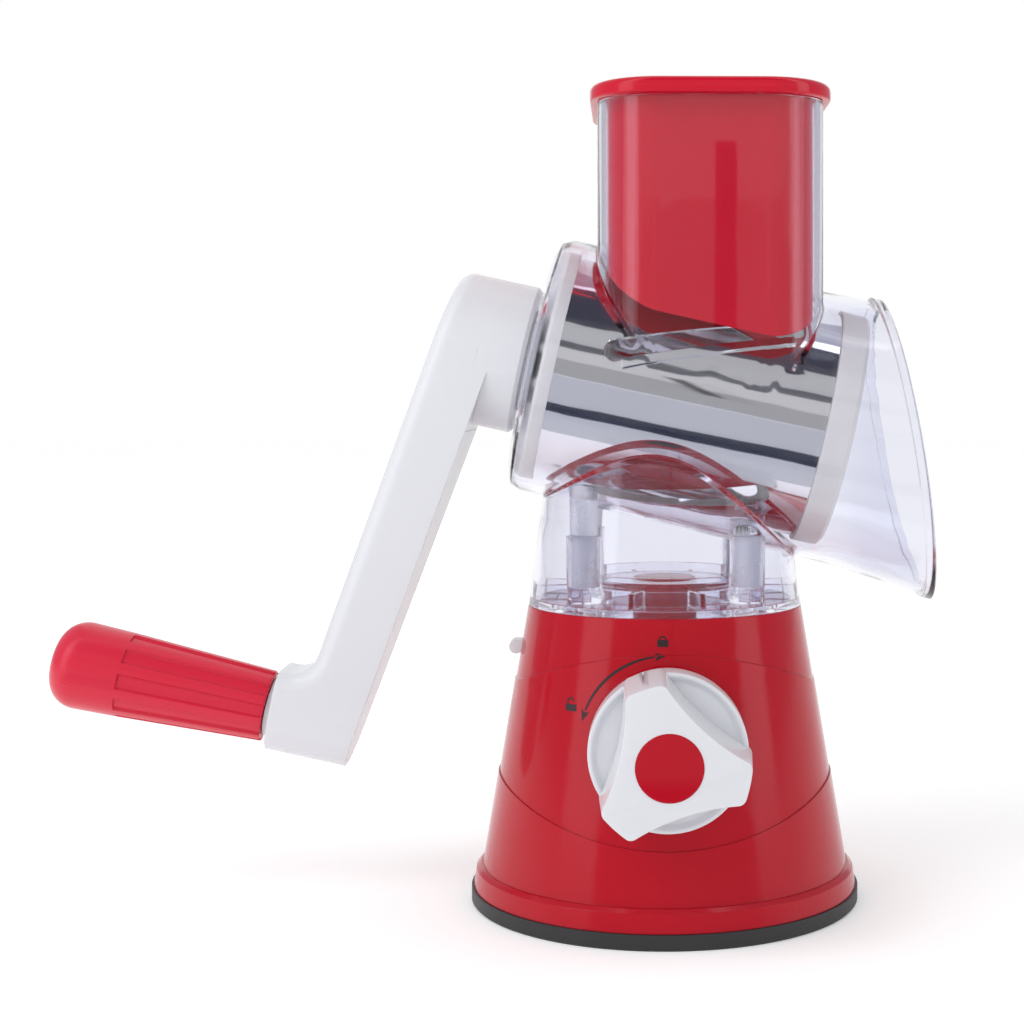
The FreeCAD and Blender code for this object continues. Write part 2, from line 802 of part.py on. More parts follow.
def make_body_neck():
    """The clear collar between base and barrel: a cone cut to the barrel, with a bayonet ring and sockets."""
    top = drum_axis_height
    low_radius = base_top_radius
    high_radius = low_radius - (top - neck_bottom) * neck_draft
    wall_out = Part.makeCone(low_radius, high_radius, top - neck_bottom, vec(0, 0, neck_bottom), Z_AXIS)
    wall_in = Part.makeCone(low_radius - neck_wall, high_radius - neck_wall, top - neck_bottom,
                            vec(0, 0, neck_bottom), Z_AXIS)
    wall = wall_out.cut(wall_in)
    ring_out = neck_ring_radius + neck_ring_wall
    floor = cyl_z(low_radius - neck_wall / 2, neck_bottom, neck_bottom + neck_floor)
    ring = cyl_z(ring_out, neck_bottom, neck_bottom + neck_ring_height)
    ribs = []
    for i in range(neck_rib_count):
        rib = block(ring_out - 1, low_radius - neck_wall / 2, -neck_rib_thickness / 2, neck_rib_thickness / 2,
                    neck_bottom, neck_bottom + neck_rib_height)
        rib.rotate(vec(0, 0, 0), Z_AXIS, (i + 0.5) * 360 / neck_rib_count)
        ribs.append(rib.common(wall_out))
    socket_radius = peg_tip_radius + fit_gap + socket_wall
    sockets = [cyl_z(socket_radius, neck_bottom, peg_shoulder - fit_gap, x, y) for x, y in peg_places()]
    neck = fused(wall, floor, ring, *ribs, *sockets)
    neck = neck.cut(cyl_z(neck_ring_radius, neck_bottom - 1, neck_bottom + neck_ring_height + 1))
    for x, y in peg_places():
        socket_floor = peg_shoulder - peg_tip_length - 0.5
        neck = neck.cut(cyl_z(peg_tip_radius + fit_gap, socket_floor, peg_shoulder + 1, x, y))
    notch_x = latch_thickness / 2 + 2 * slide_gap
    notch_y = latch_width / 2 + 2 * slide_gap
    notch_top = latch_top + 2 * slide_gap
    neck = neck.cut(block(latch_x - notch_x, latch_x + notch_x, -notch_y, notch_y, neck_bottom - 1, notch_top))
    neck = neck.cut(on_drum_axis(barrel_form(fit_gap)))
    pitch = 360 / lug_count
    lugs = [
        ring_sector(spigot_radius + bayonet_gap, neck_ring_radius + 1, neck_bottom, neck_bottom + lug_height,
                    90 + i * pitch, lug_span)
        for i in range(lug_count)
    ]
    return fused(neck, *lugs)


def slot_tool():
    """A round-ended slot over the top of the drum, turned about the radius to its slant."""
    half = drum_slot_width / 2
    straight = drum_slot_length / 2 - half
    low, high = drum_radius / 2, drum_radius + drum_ring_lip
    tool = block(-straight, straight, -half, half, low, high)
    ends = [cyl_z(half, low, high, x, 0) for x in (-straight, straight)]
    tool = tool.multiFuse(ends)
    tool.rotate(vec(0, 0, 0), Z_AXIS, drum_slot_slant)
    return tool


def blade_strip():
    """A cutting lip along one edge of the slot, raised over the drum's skin."""
    half = blade_length / 2
    edge = -drum_slot_width / 2
    strip = block(-half, half, edge - blade_width, edge, drum_radius / 2, 2 * drum_radius)
    strip.rotate(vec(0, 0, 0), Z_AXIS, drum_slot_slant)
    lip = cyl_x(drum_radius + blade_rise, -drum_slot_length, drum_slot_length)
    lip = lip.cut(cyl_x(drum_radius - drum_sheet, -reach, reach))
    return strip.common(lip)


def around_drum(shape, index):
    """A shape made over the top of the drum, turned to one of the slots' places and slid along the axis."""
    placed = shape.copy()
    turn = 90 - drum_slot_angle - index * 360 / drum_slots
    placed.rotate(vec(0, 0, 0), X_AXIS, turn)
    placed.translate(vec(drum_slot_middle, 0, 0))
    return placed


def drum_rear_edge():
    return drum_rear + drum_cap_width - 1.4


def make_drum_shell():
    """The steel drum with slanted slots, each with a raised straight blade."""
    rear, front = drum_rear_edge(), drum_front - drum_ring_width / 2
    shell = cyl_x(drum_radius, rear, front).cut(cyl_x(drum_radius - drum_sheet, rear - 1, front + 1))
    tool, strip = slot_tool(), blade_strip()
    for i in range(drum_slots):
        shell = shell.cut(around_drum(tool, i))
    return on_drum_axis(fused(shell, *[around_drum(strip, i) for i in range(drum_slots)]))


def make_drum_front_ring():
    """The smooth ring on the open end, with a groove for the sheet's edge."""
    back, front = drum_front - drum_ring_width, drum_front
    groove_end = drum_front - drum_ring_width / 2 + fit_gap
    outer = drum_radius + drum_ring_lip
    inner = outer - drum_ring_thickness
    edge = drum_ring_edge
    ring = turned_x([(back, inner), (back, outer), (front - edge, outer), (front, outer - edge), (front, inner)])
    groove = cyl_x(drum_radius + fit_gap, back - 1, groove_end)
    groove = groove.cut(cyl_x(drum_radius - drum_sheet - fit_gap, back - 2, groove_end + 1))
    return on_drum_axis(ring.cut(groove))


def hexagon(across_flats, x0, x1):
    corner = across_flats / math.sqrt(3)
    points = [
        vec(x0, corner * math.cos(math.radians(60 * i)), corner * math.sin(math.radians(60 * i)))
        for i in range(6)
    ]
    return Part.Face(Part.makePolygon(points + points[:1])).extrude(vec(x1 - x0, 0, 0))


def make_drum_rear_cap():
    """The closed end of the drum with the hexagonal socket that the crank turns."""
    outer = drum_radius + drum_cap_lip
    rim_front = drum_rear + drum_cap_width
    cap = cyl_x(outer, drum_rear, rim_front)
    cap = cap.makeChamfer(drum_cap_edge, circle_edges(cap, outer, X_AXIS, drum_rear))
    hollow = cyl_x(drum_radius - drum_sheet - 2.2, drum_rear + drum_cap_thickness, rim_front + 1)
    socket = cyl_x(drum_socket_radius, drum_rear, drum_rear + drum_socket_depth + 2)
    cap = fused(cap.cut(hollow), socket)
    groove = cyl_x(drum_radius + fit_gap, drum_rear_edge() - fit_gap, rim_front + 1)
    groove = groove.cut(cyl_x(drum_radius - drum_sheet - fit_gap, drum_rear, rim_front + 2))
    hole = hexagon(hex_across_flats + 2 * hex_gap, drum_rear - 1, drum_rear + drum_socket_depth)
    return on_drum_axis(cap.cut(groove).cut(hole))


def make_drive_shaft():
    """The journal in the barrel's rear wall, a spigot in the crank's hub and the hexagon that turns the drum."""
    spigot = cyl_x(shaft_spigot_radius, hub_face - shaft_spigot_length, hub_face)
    journal = cyl_x(journal_radius, hub_face, journal_end)
    drive = hexagon(hex_across_flats, journal_end - 1, hexagon_end)
    shaft = fused(spigot, journal, drive)
    shaft = shaft.cut(cyl_x(shaft_screw_radius + fit_gap, -reach, hexagon_end + 1))
    head_seat = hexagon_end - shaft_screw_head_height - fit_gap
    shaft = shaft.cut(cyl_x(shaft_screw_head_radius + fit_gap, head_seat, hexagon_end + 1))
    return on_drum_axis(shaft)


def make_shaft_screw():
    seat = hexagon_end - shaft_screw_head_height
    head = cyl_x(shaft_screw_head_radius, seat, hexagon_end)
    shank = cyl_x(shaft_screw_radius, hub_face - shaft_spigot_length - shaft_screw_bite, seat)
    return on_drum_axis(fused(head, shank))


def arm_inner(n):
    """Place of the arm's inner face at a height over the drum axis."""
    return hub_face - arm_offset + arm_slant * n


def arm_outer(n):
    return arm_inner(n) - arm_thickness


def arm_front_form(inset):
    """The arm as seen along the drum axis: two circles and the lines that touch both."""
    big, small = hub_radius - inset, arm_end_radius - inset
    lean = math.asin((big - small) / arm_reach)
    c, s = math.cos(lean), math.sin(lean)
    far = -reach

    def at(y, n):
        return vec(far, y, n)

    right_top, left_top = at(big * c, big * s), at(-big * c, big * s)
    right_low = at(small * c, small * s - arm_reach)
    left_low = at(-small * c, small * s - arm_reach)
    outline = Part.Wire([
        line(right_top, right_low),
        arc(right_low, at(0, -arm_reach - small), left_low),
        line(left_low, left_top),
        arc(left_top, at(0, big), right_top),
    ])
    return Part.Face(outline).extrude(vec(reach, 0, 0))


def arm_side_form():
    """The arm as seen from the user's side, with a hollow sweep from its outer face into the grip's boss."""
    top, low = hub_radius + 1, -arm_reach - arm_end_radius - 1
    boss_top = -arm_reach + arm_end_radius
    corner = vec(arm_outer(boss_top), 0, boss_top)
    up_face = vec(arm_slant, 0, 1).normalize()
    half_turn = up_face.getAngle(-X_AXIS) / 2
    sweep_high = corner + up_face * boss_sweep
    sweep_low = corner - X_AXIS * boss_sweep
    bisector = (up_face - X_AXIS).normalize()
    sweep_radius = boss_sweep * math.tan(half_turn)
    sweep_middle = corner + bisector * (boss_sweep / math.cos(half_turn) - sweep_radius)
    inner_top, inner_low = vec(arm_inner(top), 0, top), vec(arm_inner(low), 0, low)
    outer_top = vec(arm_outer(top), 0, top)
    end_low, end_high = vec(boss_face, 0, low), vec(boss_face, 0, boss_top)
    edges = [
        line(inner_top, inner_low),
        line(inner_low, end_low),
        line(end_low, end_high),
        line(end_high, sweep_low),
        arc(sweep_low, sweep_middle, sweep_high),
        line(sweep_high, outer_top),
        line(outer_top, inner_top),
    ]
    return extruded_y(edges, 2 * hub_radius)


def arm_layer(inset, front, back, top, low):
    """A slanted layer of the arm's inside, between two depths behind its inner face."""
    edges = [
        line(vec(arm_inner(top) - front, 0, top), vec(arm_inner(low) - front, 0, low)),
        line(vec(arm_inner(low) - front, 0, low), vec(arm_inner(low) - back, 0, low)),
        line(vec(arm_inner(low) - back, 0, low), vec(arm_inner(top) - back, 0, top)),
        line(vec(arm_inner(top) - back, 0, top), vec(arm_inner(top) - front, 0, top)),
    ]
    return arm_front_form(inset).common(extruded_y(edges, 2 * hub_radius))


def make_crank_arm():
    """The crank's outer moulding: hub, hollow slanted arm and the boss that carries the grip."""
    arm = arm_front_form(0).common(arm_side_form())
    arm = arm.makeFillet(arm_edge_round, outer_rim(arm))
    hub = cyl_x(hub_radius, hub_face - hub_depth, hub_face)
    hub = hub.makeChamfer(hub_edge, circle_edges(hub, hub_radius, X_AXIS, hub_face))
    arm = fused(arm, hub)
    cover_top = -hub_radius - 2
    cover_low = -arm_reach - arm_end_radius
    hollow_low = -arm_reach + spindle_radius + 6
    arm = arm.cut(arm_layer(cover_inset, -1, cover_thickness + fit_gap, cover_top, cover_low))
    arm = arm.cut(arm_layer(arm_wall + 1, 0, arm_thickness - arm_wall, cover_top - 3, hollow_low))
    arm = arm.cut(cyl_x(shaft_spigot_radius + fit_gap, hub_face - shaft_spigot_length - fit_gap, hub_face + 1))
    screw_end = hub_face - shaft_spigot_length - shaft_screw_bite - 1
    arm = arm.cut(cyl_x(shaft_screw_radius + fit_gap, screw_end, hub_face))
    collar = cyl_x(grip_collar_radius, boss_face - grip_collar_length, boss_face + 1, 0, -arm_reach)
    arm = fused(arm, collar)
    seat = boss_face + spindle_seat
    arm = arm.cut(cyl_x(spindle_radius + fit_gap, boss_face - reach / 2, seat, 0, -arm_reach))
    return on_drum_axis(arm)


def outer_rim(arm):
    """The edges of the arm's slanted outer face, apart from the one where the sweep starts."""
    middle = vec(arm_outer(0), 0, 0)
    normal = vec(-1, 0, arm_slant).normalize()
    found = []
    for edge in arm.Edges:
        on_face = all(abs((v.Point - middle).dot(normal)) < 0.01 for v in edge.Vertexes)
        across = edge.BoundBox.ZLength < 0.01
        if on_face and not across:
            found.append(edge)
    return found


def make_crank_cover():
    """The flat plate that closes the arm's inner side."""
    top, low = -hub_radius - 2 - fit_gap, -arm_reach - arm_end_radius
    return on_drum_axis(arm_layer(cover_inset + fit_gap, 0, cover_thickness, top, low))


def make_grip_spindle():
    """The pin pressed into the arm, with a snap head that keeps the grip on."""
    start, head = boss_face + spindle_seat - fit_gap, boss_face - spindle_length
    pin = cyl_x(spindle_radius, head, start, 0, -arm_reach)
    knob = Part.makeCone(
        spindle_head_radius - 1.2, spindle_head_radius, spindle_head_length,
        vec(head - spindle_head_length, 0, -arm_reach), X_AXIS
    )
    return on_drum_axis(fused(pin, knob))


def make_crank_grip():
    """The freely turning grip: a tapered fluted handle with a domed end and a stepped bore."""
    start, end = grip_face, grip_face - grip_length
    dome_start = end + grip_dome
    steps = [math.pi / 2 * i / grip_dome_steps for i in range(grip_dome_steps + 1)]
    dome = [(dome_start - grip_dome * math.sin(a), grip_end_radius - grip_dome * (1 - math.cos(a))) for a in steps]
    body = turned_x([(start, 0), (start, grip_start_radius), *dome, (end, 0)])
    slope = (grip_end_radius - grip_start_radius) / (start - dome_start)
    lift = grip_flute_radius - grip_flute_depth
    flute_start = vec(start + 1, 0, grip_start_radius - slope + lift)
    flute_length = grip_length - grip_flute_end + 1
    flute_end = flute_start + vec(-flute_length, 0, slope * flute_length)
    flute = Part.makeCylinder(grip_flute_radius, flute_length, flute_start, flute_end - flute_start)
    for i in range(grip_flutes):
        turned = flute.copy()
        turned.rotate(vec(0, 0, 0), X_AXIS, (i + 0.5) * 360 / grip_flutes)
        body = body.cut(turned)
    chamber_start = boss_face - spindle_length + slide_gap
    chamber_end = boss_face - spindle_length - spindle_head_length - grip_chamber_gap
    body = body.cut(cyl_x(spindle_radius + running_gap, chamber_end, start + 1))
    body = body.cut(cyl_x(grip_chamber_radius, chamber_end, chamber_start))
    body.translate(vec(0, 0, -arm_reach))
    return on_drum_axis(body)


def pusher_curve(extra):
    """The cylinder that hollows the pusher's foot over the drum."""
    middle = drum_radius + pusher_drum_gap - pusher_curve_radius
    return on_drum_axis(cyl_x(pusher_curve_radius + extra, -reach, reach, 0, middle))


def make_pusher_body():
    """A hollow block that fills the hopper, with a foot curved over the drum."""
    shrink = hopper_wall + pusher_gap
    top = hopper_top + slide_gap
    outer = hopper_form(shrink, top).cut(pusher_curve(0))
    inner = hopper_form(shrink + pusher_wall, top + 1).cut(pusher_curve(pusher_floor))
    return outer.cut(inner)


def make_pusher_lid():
    """The pusher's flat cap, which rests on the hopper's rim and plugs the block."""
    low = hopper_top + slide_gap
    half_x, half_y = hopper_half_width + lid_overhang, hopper_half_depth + lid_overhang
    corner = hopper_corner + lid_overhang
    plate = rounded_prism(hopper_middle, half_x, half_y, corner, low, low + lid_thickness)
    rim = [e for e in plate.Edges if all(abs(v.Z - low - lid_thickness) < 0.01 for v in e.Vertexes)]
    plate = plate.makeChamfer(lid_edge, rim)
    shrink = hopper_wall + pusher_gap + pusher_wall + fit_gap
    plug = rounded_prism(
        hopper_middle, hopper_half_width - shrink, hopper_half_depth - shrink, hopper_corner - shrink,
        low - lid_plug_depth, low
    )
    return fused(plate, plug)


os.makedirs("parts", exist_ok=True)
save("base_shell", make_base_shell())
save("suction_cup", make_suction_cup())
save("suction_stem", make_suction_stem())
save("cam_shaft", make_cam_shaft())
save("suction_knob", make_suction_knob())
save("knob_cap", make_knob_cap())
save("knob_screw", make_knob_screw())
save("inner_frame", make_inner_frame())
save("base_screws", make_base_screws())
save("release_latch", make_release_latch())
save("latch_spring", make_latch_spring())
save("body_neck", make_body_neck())
save("barrel_housing", make_barrel_housing())
save("drum_shell", make_drum_shell())
save("drum_front_ring", make_drum_front_ring())
save("drum_rear_cap", make_drum_rear_cap())
save("drive_shaft", make_drive_shaft())
save("shaft_screw", make_shaft_screw())
save("crank_arm", make_crank_arm())
save("crank_cover", make_crank_cover())
save("grip_spindle", make_grip_spindle())
save("crank_grip", make_crank_grip())
save("pusher_body", make_pusher_body())
save("pusher_lid", make_pusher_lid())
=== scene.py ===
"""Looks of a rotary drum shredder: red foot, clear barrel and hopper, steel drum, white crank and knob."""

import json
import logging
import math
from collections.abc import Callable, Iterable
from dataclasses import dataclass, field
from enum import Enum

import bmesh
import bpy
from mathutils import Matrix, Vector
from mathutils.bvhtree import BVHTree


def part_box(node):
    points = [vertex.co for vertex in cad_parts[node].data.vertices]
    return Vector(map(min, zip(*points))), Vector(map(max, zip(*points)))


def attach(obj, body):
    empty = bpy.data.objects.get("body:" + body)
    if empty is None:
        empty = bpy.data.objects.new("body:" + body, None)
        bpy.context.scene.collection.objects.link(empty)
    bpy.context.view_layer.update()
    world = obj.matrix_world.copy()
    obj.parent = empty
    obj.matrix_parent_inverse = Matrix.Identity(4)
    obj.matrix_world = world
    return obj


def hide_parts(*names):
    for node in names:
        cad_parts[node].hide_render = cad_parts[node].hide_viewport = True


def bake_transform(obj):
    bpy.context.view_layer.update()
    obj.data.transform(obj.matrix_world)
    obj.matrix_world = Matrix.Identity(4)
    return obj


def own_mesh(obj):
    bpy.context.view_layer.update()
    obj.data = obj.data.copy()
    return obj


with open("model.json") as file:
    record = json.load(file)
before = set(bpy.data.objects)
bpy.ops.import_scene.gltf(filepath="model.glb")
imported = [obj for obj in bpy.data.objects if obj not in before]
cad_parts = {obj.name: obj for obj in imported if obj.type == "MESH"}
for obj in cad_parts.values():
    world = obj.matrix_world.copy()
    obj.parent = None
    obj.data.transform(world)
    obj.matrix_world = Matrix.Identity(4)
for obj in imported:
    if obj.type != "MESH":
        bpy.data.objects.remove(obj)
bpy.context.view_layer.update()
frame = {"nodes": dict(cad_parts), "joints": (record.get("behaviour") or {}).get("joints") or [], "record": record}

MM = 0.001
MERGE_DISTANCE = 1e-6
SKIN_CREASE = 32.0
SOFT_CREASE = 40.0
ROUND_STEPS = 96
STRAIGHT = 1e-14
Colour = tuple[float, float, float]
Point2 = tuple[float, float]
log = logging.getLogger("shredder")


class Slot(Enum):
    """The record's material slots."""

    RED = "red_plastic"
    WHITE = "white_plastic"
    CLEAR = "clear_plastic"
    DRUM = "drum_steel"
    RUBBER = "foot_rubber"
    SCREW = "screw_steel"
    SPRING = "spring_steel"
    INNER = "inner_plastic"


class Term:
    """A shader socket that adds its Math nodes when it is used in an expression."""

    def __init__(self, sheet: "NodeSheet", socket: bpy.types.NodeSocket) -> None:
        """Wraps one output socket of a sheet.

        Args:
            sheet: The sheet that new Math nodes go into.
            socket: The output socket.
        """
        self.sheet = sheet
        self.socket = socket

    def _maths(self, operation: str, *values: "Term | float") -> "Term":
        """One Math node over some values."""
        return self.sheet.node("ShaderNodeMath", {"operation": operation}, dict(enumerate(values)))

    def __add__(self, other: "Term | float") -> "Term":
        """Sum."""
        return self._maths("ADD", self, other)

    def __radd__(self, other: float) -> "Term":
        """Sum with the number first."""
        return self._maths("ADD", other, self)

    def __sub__(self, other: "Term | float") -> "Term":
        """Difference."""
        return self._maths("SUBTRACT", self, other)

    def __rsub__(self, other: float) -> "Term":
        """Difference with the number first."""
        return self._maths("SUBTRACT", other, self)

    def __mul__(self, other: "Term | float") -> "Term":
        """Product."""
        return self._maths("MULTIPLY", self, other)

    def __rmul__(self, other: float) -> "Term":
        """Product with the number first."""
        return self._maths("MULTIPLY", other, self)

    def at_least(self, other: "Term | float") -> "Term":
        """The larger of the two."""
        return self._maths("MAXIMUM", self, other)


class NodeSheet:
    """The nodes of one material or of the world."""

    def __init__(self, tree: bpy.types.NodeTree) -> None:
        """Takes over a node tree and empties it.

        Args:
            tree: The tree of a material or a world.
        """
        self.tree = tree
        tree.nodes.clear()

    def node(self, kind: str, settings: dict | None = None, values: dict | None = None) -> Term:
        """Adds a node of any type.

        Args:
            kind: The node's type name.
            settings: Properties that are set first. A ramp's stops are given under "stops".
            values: Numbers, colours or terms for its sockets, by name or place.

        Returns:
            The node's first visible output.
        """
        made = self.tree.nodes.new(kind)
        for name, value in (settings or {}).items():
            if name == "stops":
                self._set_stops(made, value)
            else:
                setattr(made, name, value)
        for name, value in (values or {}).items():
            self.plug(made.inputs[name], value)
        outputs = [s for s in made.outputs if s.enabled]
        return Term(self, outputs[0]) if outputs else Term(self, None)

    def plug(self, socket: bpy.types.NodeSocket, value: object) -> None:
        """Links a term to a socket, or sets a plain value on it.

        Args:
            socket: The input socket.
            value: A term, a number or a colour.
        """
        if isinstance(value, Term):
            self.tree.links.new(value.socket, socket)
        elif hasattr(socket.default_value, "__len__") and len(socket.default_value) == 4:
            socket.default_value = (*value[:3], 1.0)
        else:
            socket.default_value = value

    def output_of(self, term: Term, name: str) -> Term:
        """Another output of the node that a term comes from."""
        return Term(self, term.socket.node.outputs[name])

    def coordinates(self) -> Term:
        """Object coordinates, which are the part's own frame in metres."""
        return self.output_of(self.node("ShaderNodeTexCoord"), "Object")

    def noise(self, scale: float, detail: float = 2.0, stretch: Colour = (1, 1, 1)) -> Term:
        """A noise from 0 to 1 over the part.

        Args:
            scale: How many lumps there are to a metre.
            detail: Octaves of finer lumps.
            stretch: How much each axis is drawn out.

        Returns:
            The noise's factor.
        """
        place = self.node("ShaderNodeMapping", {}, {"Vector": self.coordinates(), "Scale": stretch})
        return self.node("ShaderNodeTexNoise", {}, {"Vector": place, "Scale": scale, "Detail": detail})

    def blend(self, factor: Term, dark: Colour, light: Colour) -> Term:
        """A colour between two others."""
        ramp = {"stops": [(0.0, dark), (1.0, light)]}
        return self.node("ShaderNodeValToRGB", ramp, {"Fac": factor})

    def bump(self, height: Term, strength: float, distance: float, round_off: float) -> Term:
        """A normal from a height, over edges rounded off a little.

        Args:
            height: The height's term.
            strength: Share of the height that shows.
            distance: Depth of the height in metres.
            round_off: Radius of the small moulding round on sharp edges.

        Returns:
            The normal.
        """
        edge = self.node("ShaderNodeBevel", {"samples": 4}, {"Radius": round_off})
        values = {"Height": height, "Strength": strength, "Distance": distance, "Normal": edge}
        return self.node("ShaderNodeBump", {}, values)

    @staticmethod
    def _set_stops(ramp_node: bpy.types.Node, stops: list[tuple[float, Colour]]) -> None:
        """Puts a ramp's stops in place.

        Args:
            ramp_node: The ramp.
            stops: Each stop's place and colour.
        """
        elements = ramp_node.color_ramp.elements
        while len(elements) > 1:
            elements.remove(elements[-1])
        for i, (place, colour) in enumerate(stops):
            stop = elements[0] if i == 0 else elements.new(place)
            stop.position = place
            stop.color = (*colour, 1.0)


@dataclass(frozen=True)
class Plastic:
    """Moulded plastic: a base colour that drifts a little, a gloss that varies, and faint waviness."""

    name: str
    colour: Colour
    drift: Colour
    roughness: float = 0.12
    roughness_spread: float = 0.10
    subsurface: float = 0.0
    shine: float = 0.5
    wave_depth: float = 0.00003
    round_off: float = 0.0004

    def material(self) -> bpy.types.Material:
        """Builds the material.

        Returns:
            The new material.
        """
        made, sheet = new_material(self.name)
        lumps = sheet.noise(scale=9.0, detail=3.0)
        fine = sheet.noise(scale=900.0, detail=2.0)
        colour = sheet.blend(lumps, self.colour, self.drift)
        gloss = self.roughness + self.roughness_spread * sheet.noise(scale=60.0, detail=4.0) * lumps
        height = 0.85 * sheet.noise(scale=35.0, detail=1.0) + 0.15 * fine
        values = {
            "Base Color": colour,
            "Roughness": gloss,
            "IOR": 1.5,
            "Specular IOR Level": self.shine,
            "Subsurface Weight": self.subsurface,
            "Subsurface Radius": (0.004, 0.004, 0.004),
            "Subsurface Scale": 1.0,
            "Normal": sheet.bump(height, strength=0.25, distance=self.wave_depth, round_off=self.round_off),
        }
        finish_surface(sheet, sheet.node("ShaderNodeBsdfPrincipled", {}, values))
        return made


@dataclass(frozen=True)
class ClearPlastic:
    """Clear moulded plastic with a faint violet tint and a painted shade toward the chute, which lets light
    through to the pieces behind it.
    """

    name: str
    tint: Colour
    chute_shaded_tint: Colour
    chute_shade_from: Point2 = (0.055, 0.068)
    roughness: float = 0.02
    ior: float = 1.4
    round_off: float = 0.0007

    def material(self) -> bpy.types.Material:
        """Builds the material.

        Returns:
            The new material.
        """
        made, sheet = new_material(self.name)
        flow = sheet.noise(scale=18.0, detail=2.0)
        haze = self.roughness * (0.4 + 1.2 * sheet.noise(scale=40.0, detail=3.0))
        values = {
            "Base Color": self._colour(sheet, flow),
            "Roughness": haze,
            "IOR": self.ior,
            "Transmission Weight": 1.0,
            "Normal": sheet.bump(flow, strength=0.3, distance=0.0001, round_off=self.round_off),
        }
        glass = sheet.node("ShaderNodeBsdfPrincipled", {}, values)
        through = sheet.node("ShaderNodeBsdfTransparent", {}, {"Color": (0.97, 0.97, 0.99)})
        path = sheet.node("ShaderNodeLightPath")
        soft = sheet.output_of(path, "Is Shadow Ray").at_least(sheet.output_of(path, "Is Diffuse Ray"))
        mixed = sheet.node("ShaderNodeMixShader", {}, {0: soft, 1: glass, 2: through})
        finish_surface(sheet, mixed)
        return made

    def _colour(self, sheet: NodeSheet, flow: Term) -> Term:
        """The tint, darkened toward the chute as painted shade, and drifting with the flow of the plastic.

        Args:
            sheet: The material's sheet.
            flow: The noise of the plastic's flow.

        Returns:
            The colour.
        """
        # Painted shade: the tint darkens along X toward the outlet, standing in for the darker surroundings that
        # the chute gathers.
        split = sheet.node("ShaderNodeSeparateXYZ", {}, {"Vector": sheet.coordinates()})
        start, end = self.chute_shade_from
        share = (split - start) * (1 / (end - start)) + 0.1 * flow
        return sheet.blend(share, self.tint, self.chute_shaded_tint)


@dataclass(frozen=True)
class FrostedPlastic:
    """Clear plastic with a moulded frost, which scatters the light that it lets through."""

    name: str
    colour: Colour
    milk: Colour
    roughness: float = 0.3

    def material(self) -> bpy.types.Material:
        """Builds the material.

        Returns:
            The new material.
        """
        made, sheet = new_material(self.name)
        frost = sheet.noise(scale=600.0, detail=3.0)
        values = {
            "Base Color": sheet.blend(frost, self.colour, self.milk),
            "Roughness": self.roughness * (0.7 + 0.6 * sheet.noise(scale=200.0, detail=2.0)),
            "IOR": 1.25,
            "Transmission Weight": 0.55,
            "Normal": sheet.bump(frost, strength=0.3, distance=0.00003, round_off=0.0004),
        }
        finish_surface(sheet, sheet.node("ShaderNodeBsdfPrincipled", {}, values))
        return made


@dataclass(frozen=True)
class Steel:
    """Steel, from mirror polish to turned: a roughness, fine hair lines along an axis and light wear."""

    name: str
    colour: Colour
    roughness: float
    line_depth: float = 0.000002
    round_off: float = 0.0002

    def material(self) -> bpy.types.Material:
        """Builds the material.

        Returns:
            The new material.
        """
        made, sheet = new_material(self.name)
        smudge = sheet.noise(scale=30.0, detail=4.0)
        lines = sheet.noise(scale=400.0, detail=3.0, stretch=(0.08, 1.0, 1.0))
        dim = tuple(c * 0.94 for c in self.colour)
        values = {
            "Base Color": sheet.blend(smudge, dim, self.colour),
            "Metallic": 1.0,
            "Roughness": self.roughness * (0.6 + 0.8 * smudge),
            "Normal": sheet.bump(lines, strength=0.35, distance=self.line_depth, round_off=self.round_off),
        }
        finish_surface(sheet, sheet.node("ShaderNodeBsdfPrincipled", {}, values))
        return made


@dataclass(frozen=True)
class Rubber:
    """Black rubber: dull, with a fine grain and paler dust on it."""

    name: str
    colour: Colour
    dust: Colour

    def material(self) -> bpy.types.Material:
        """Builds the material.

        Returns:
            The new material.
        """
        made, sheet = new_material(self.name)
        grain = sheet.noise(scale=1400.0, detail=3.0)
        patches = sheet.noise(scale=45.0, detail=4.0)
        values = {
            "Base Color": sheet.blend(patches * grain, self.colour, self.dust),
            "Roughness": 0.38 + 0.25 * patches,
            "Normal": sheet.bump(grain, strength=0.3, distance=0.00004, round_off=0.0004),
        }
        finish_surface(sheet, sheet.node("ShaderNodeBsdfPrincipled", {}, values))
        return made


@dataclass(frozen=True)
class Ink:
    """Pad-printed ink: near black, a little thin in places."""

    name: str
    colour: Colour
    thin: Colour

    def material(self) -> bpy.types.Material:
        """Builds the material.

        Returns:
            The new material.
        """
        made, sheet = new_material(self.name)
        values = {
            "Base Color": sheet.blend(sheet.noise(scale=2500.0, detail=2.0), self.colour, self.thin),
            "Roughness": 0.35 + 0.2 * sheet.noise(scale=900.0),
        }
        finish_surface(sheet, sheet.node("ShaderNodeBsdfPrincipled", {}, values))
        return made


def new_material(name: str) -> tuple[bpy.types.Material, NodeSheet]:
    """An empty material and its sheet of nodes.

    Args:
        name: The material's name.

    Returns:
        The material and its sheet.
    """
    made = bpy.data.materials.new(name)
    made.use_nodes = True
    return made, NodeSheet(made.node_tree)


def finish_surface(sheet: NodeSheet, surface: Term) -> None:
    """Links a surface to the material's output."""
    sheet.node("ShaderNodeOutputMaterial", {}, {"Surface": surface})


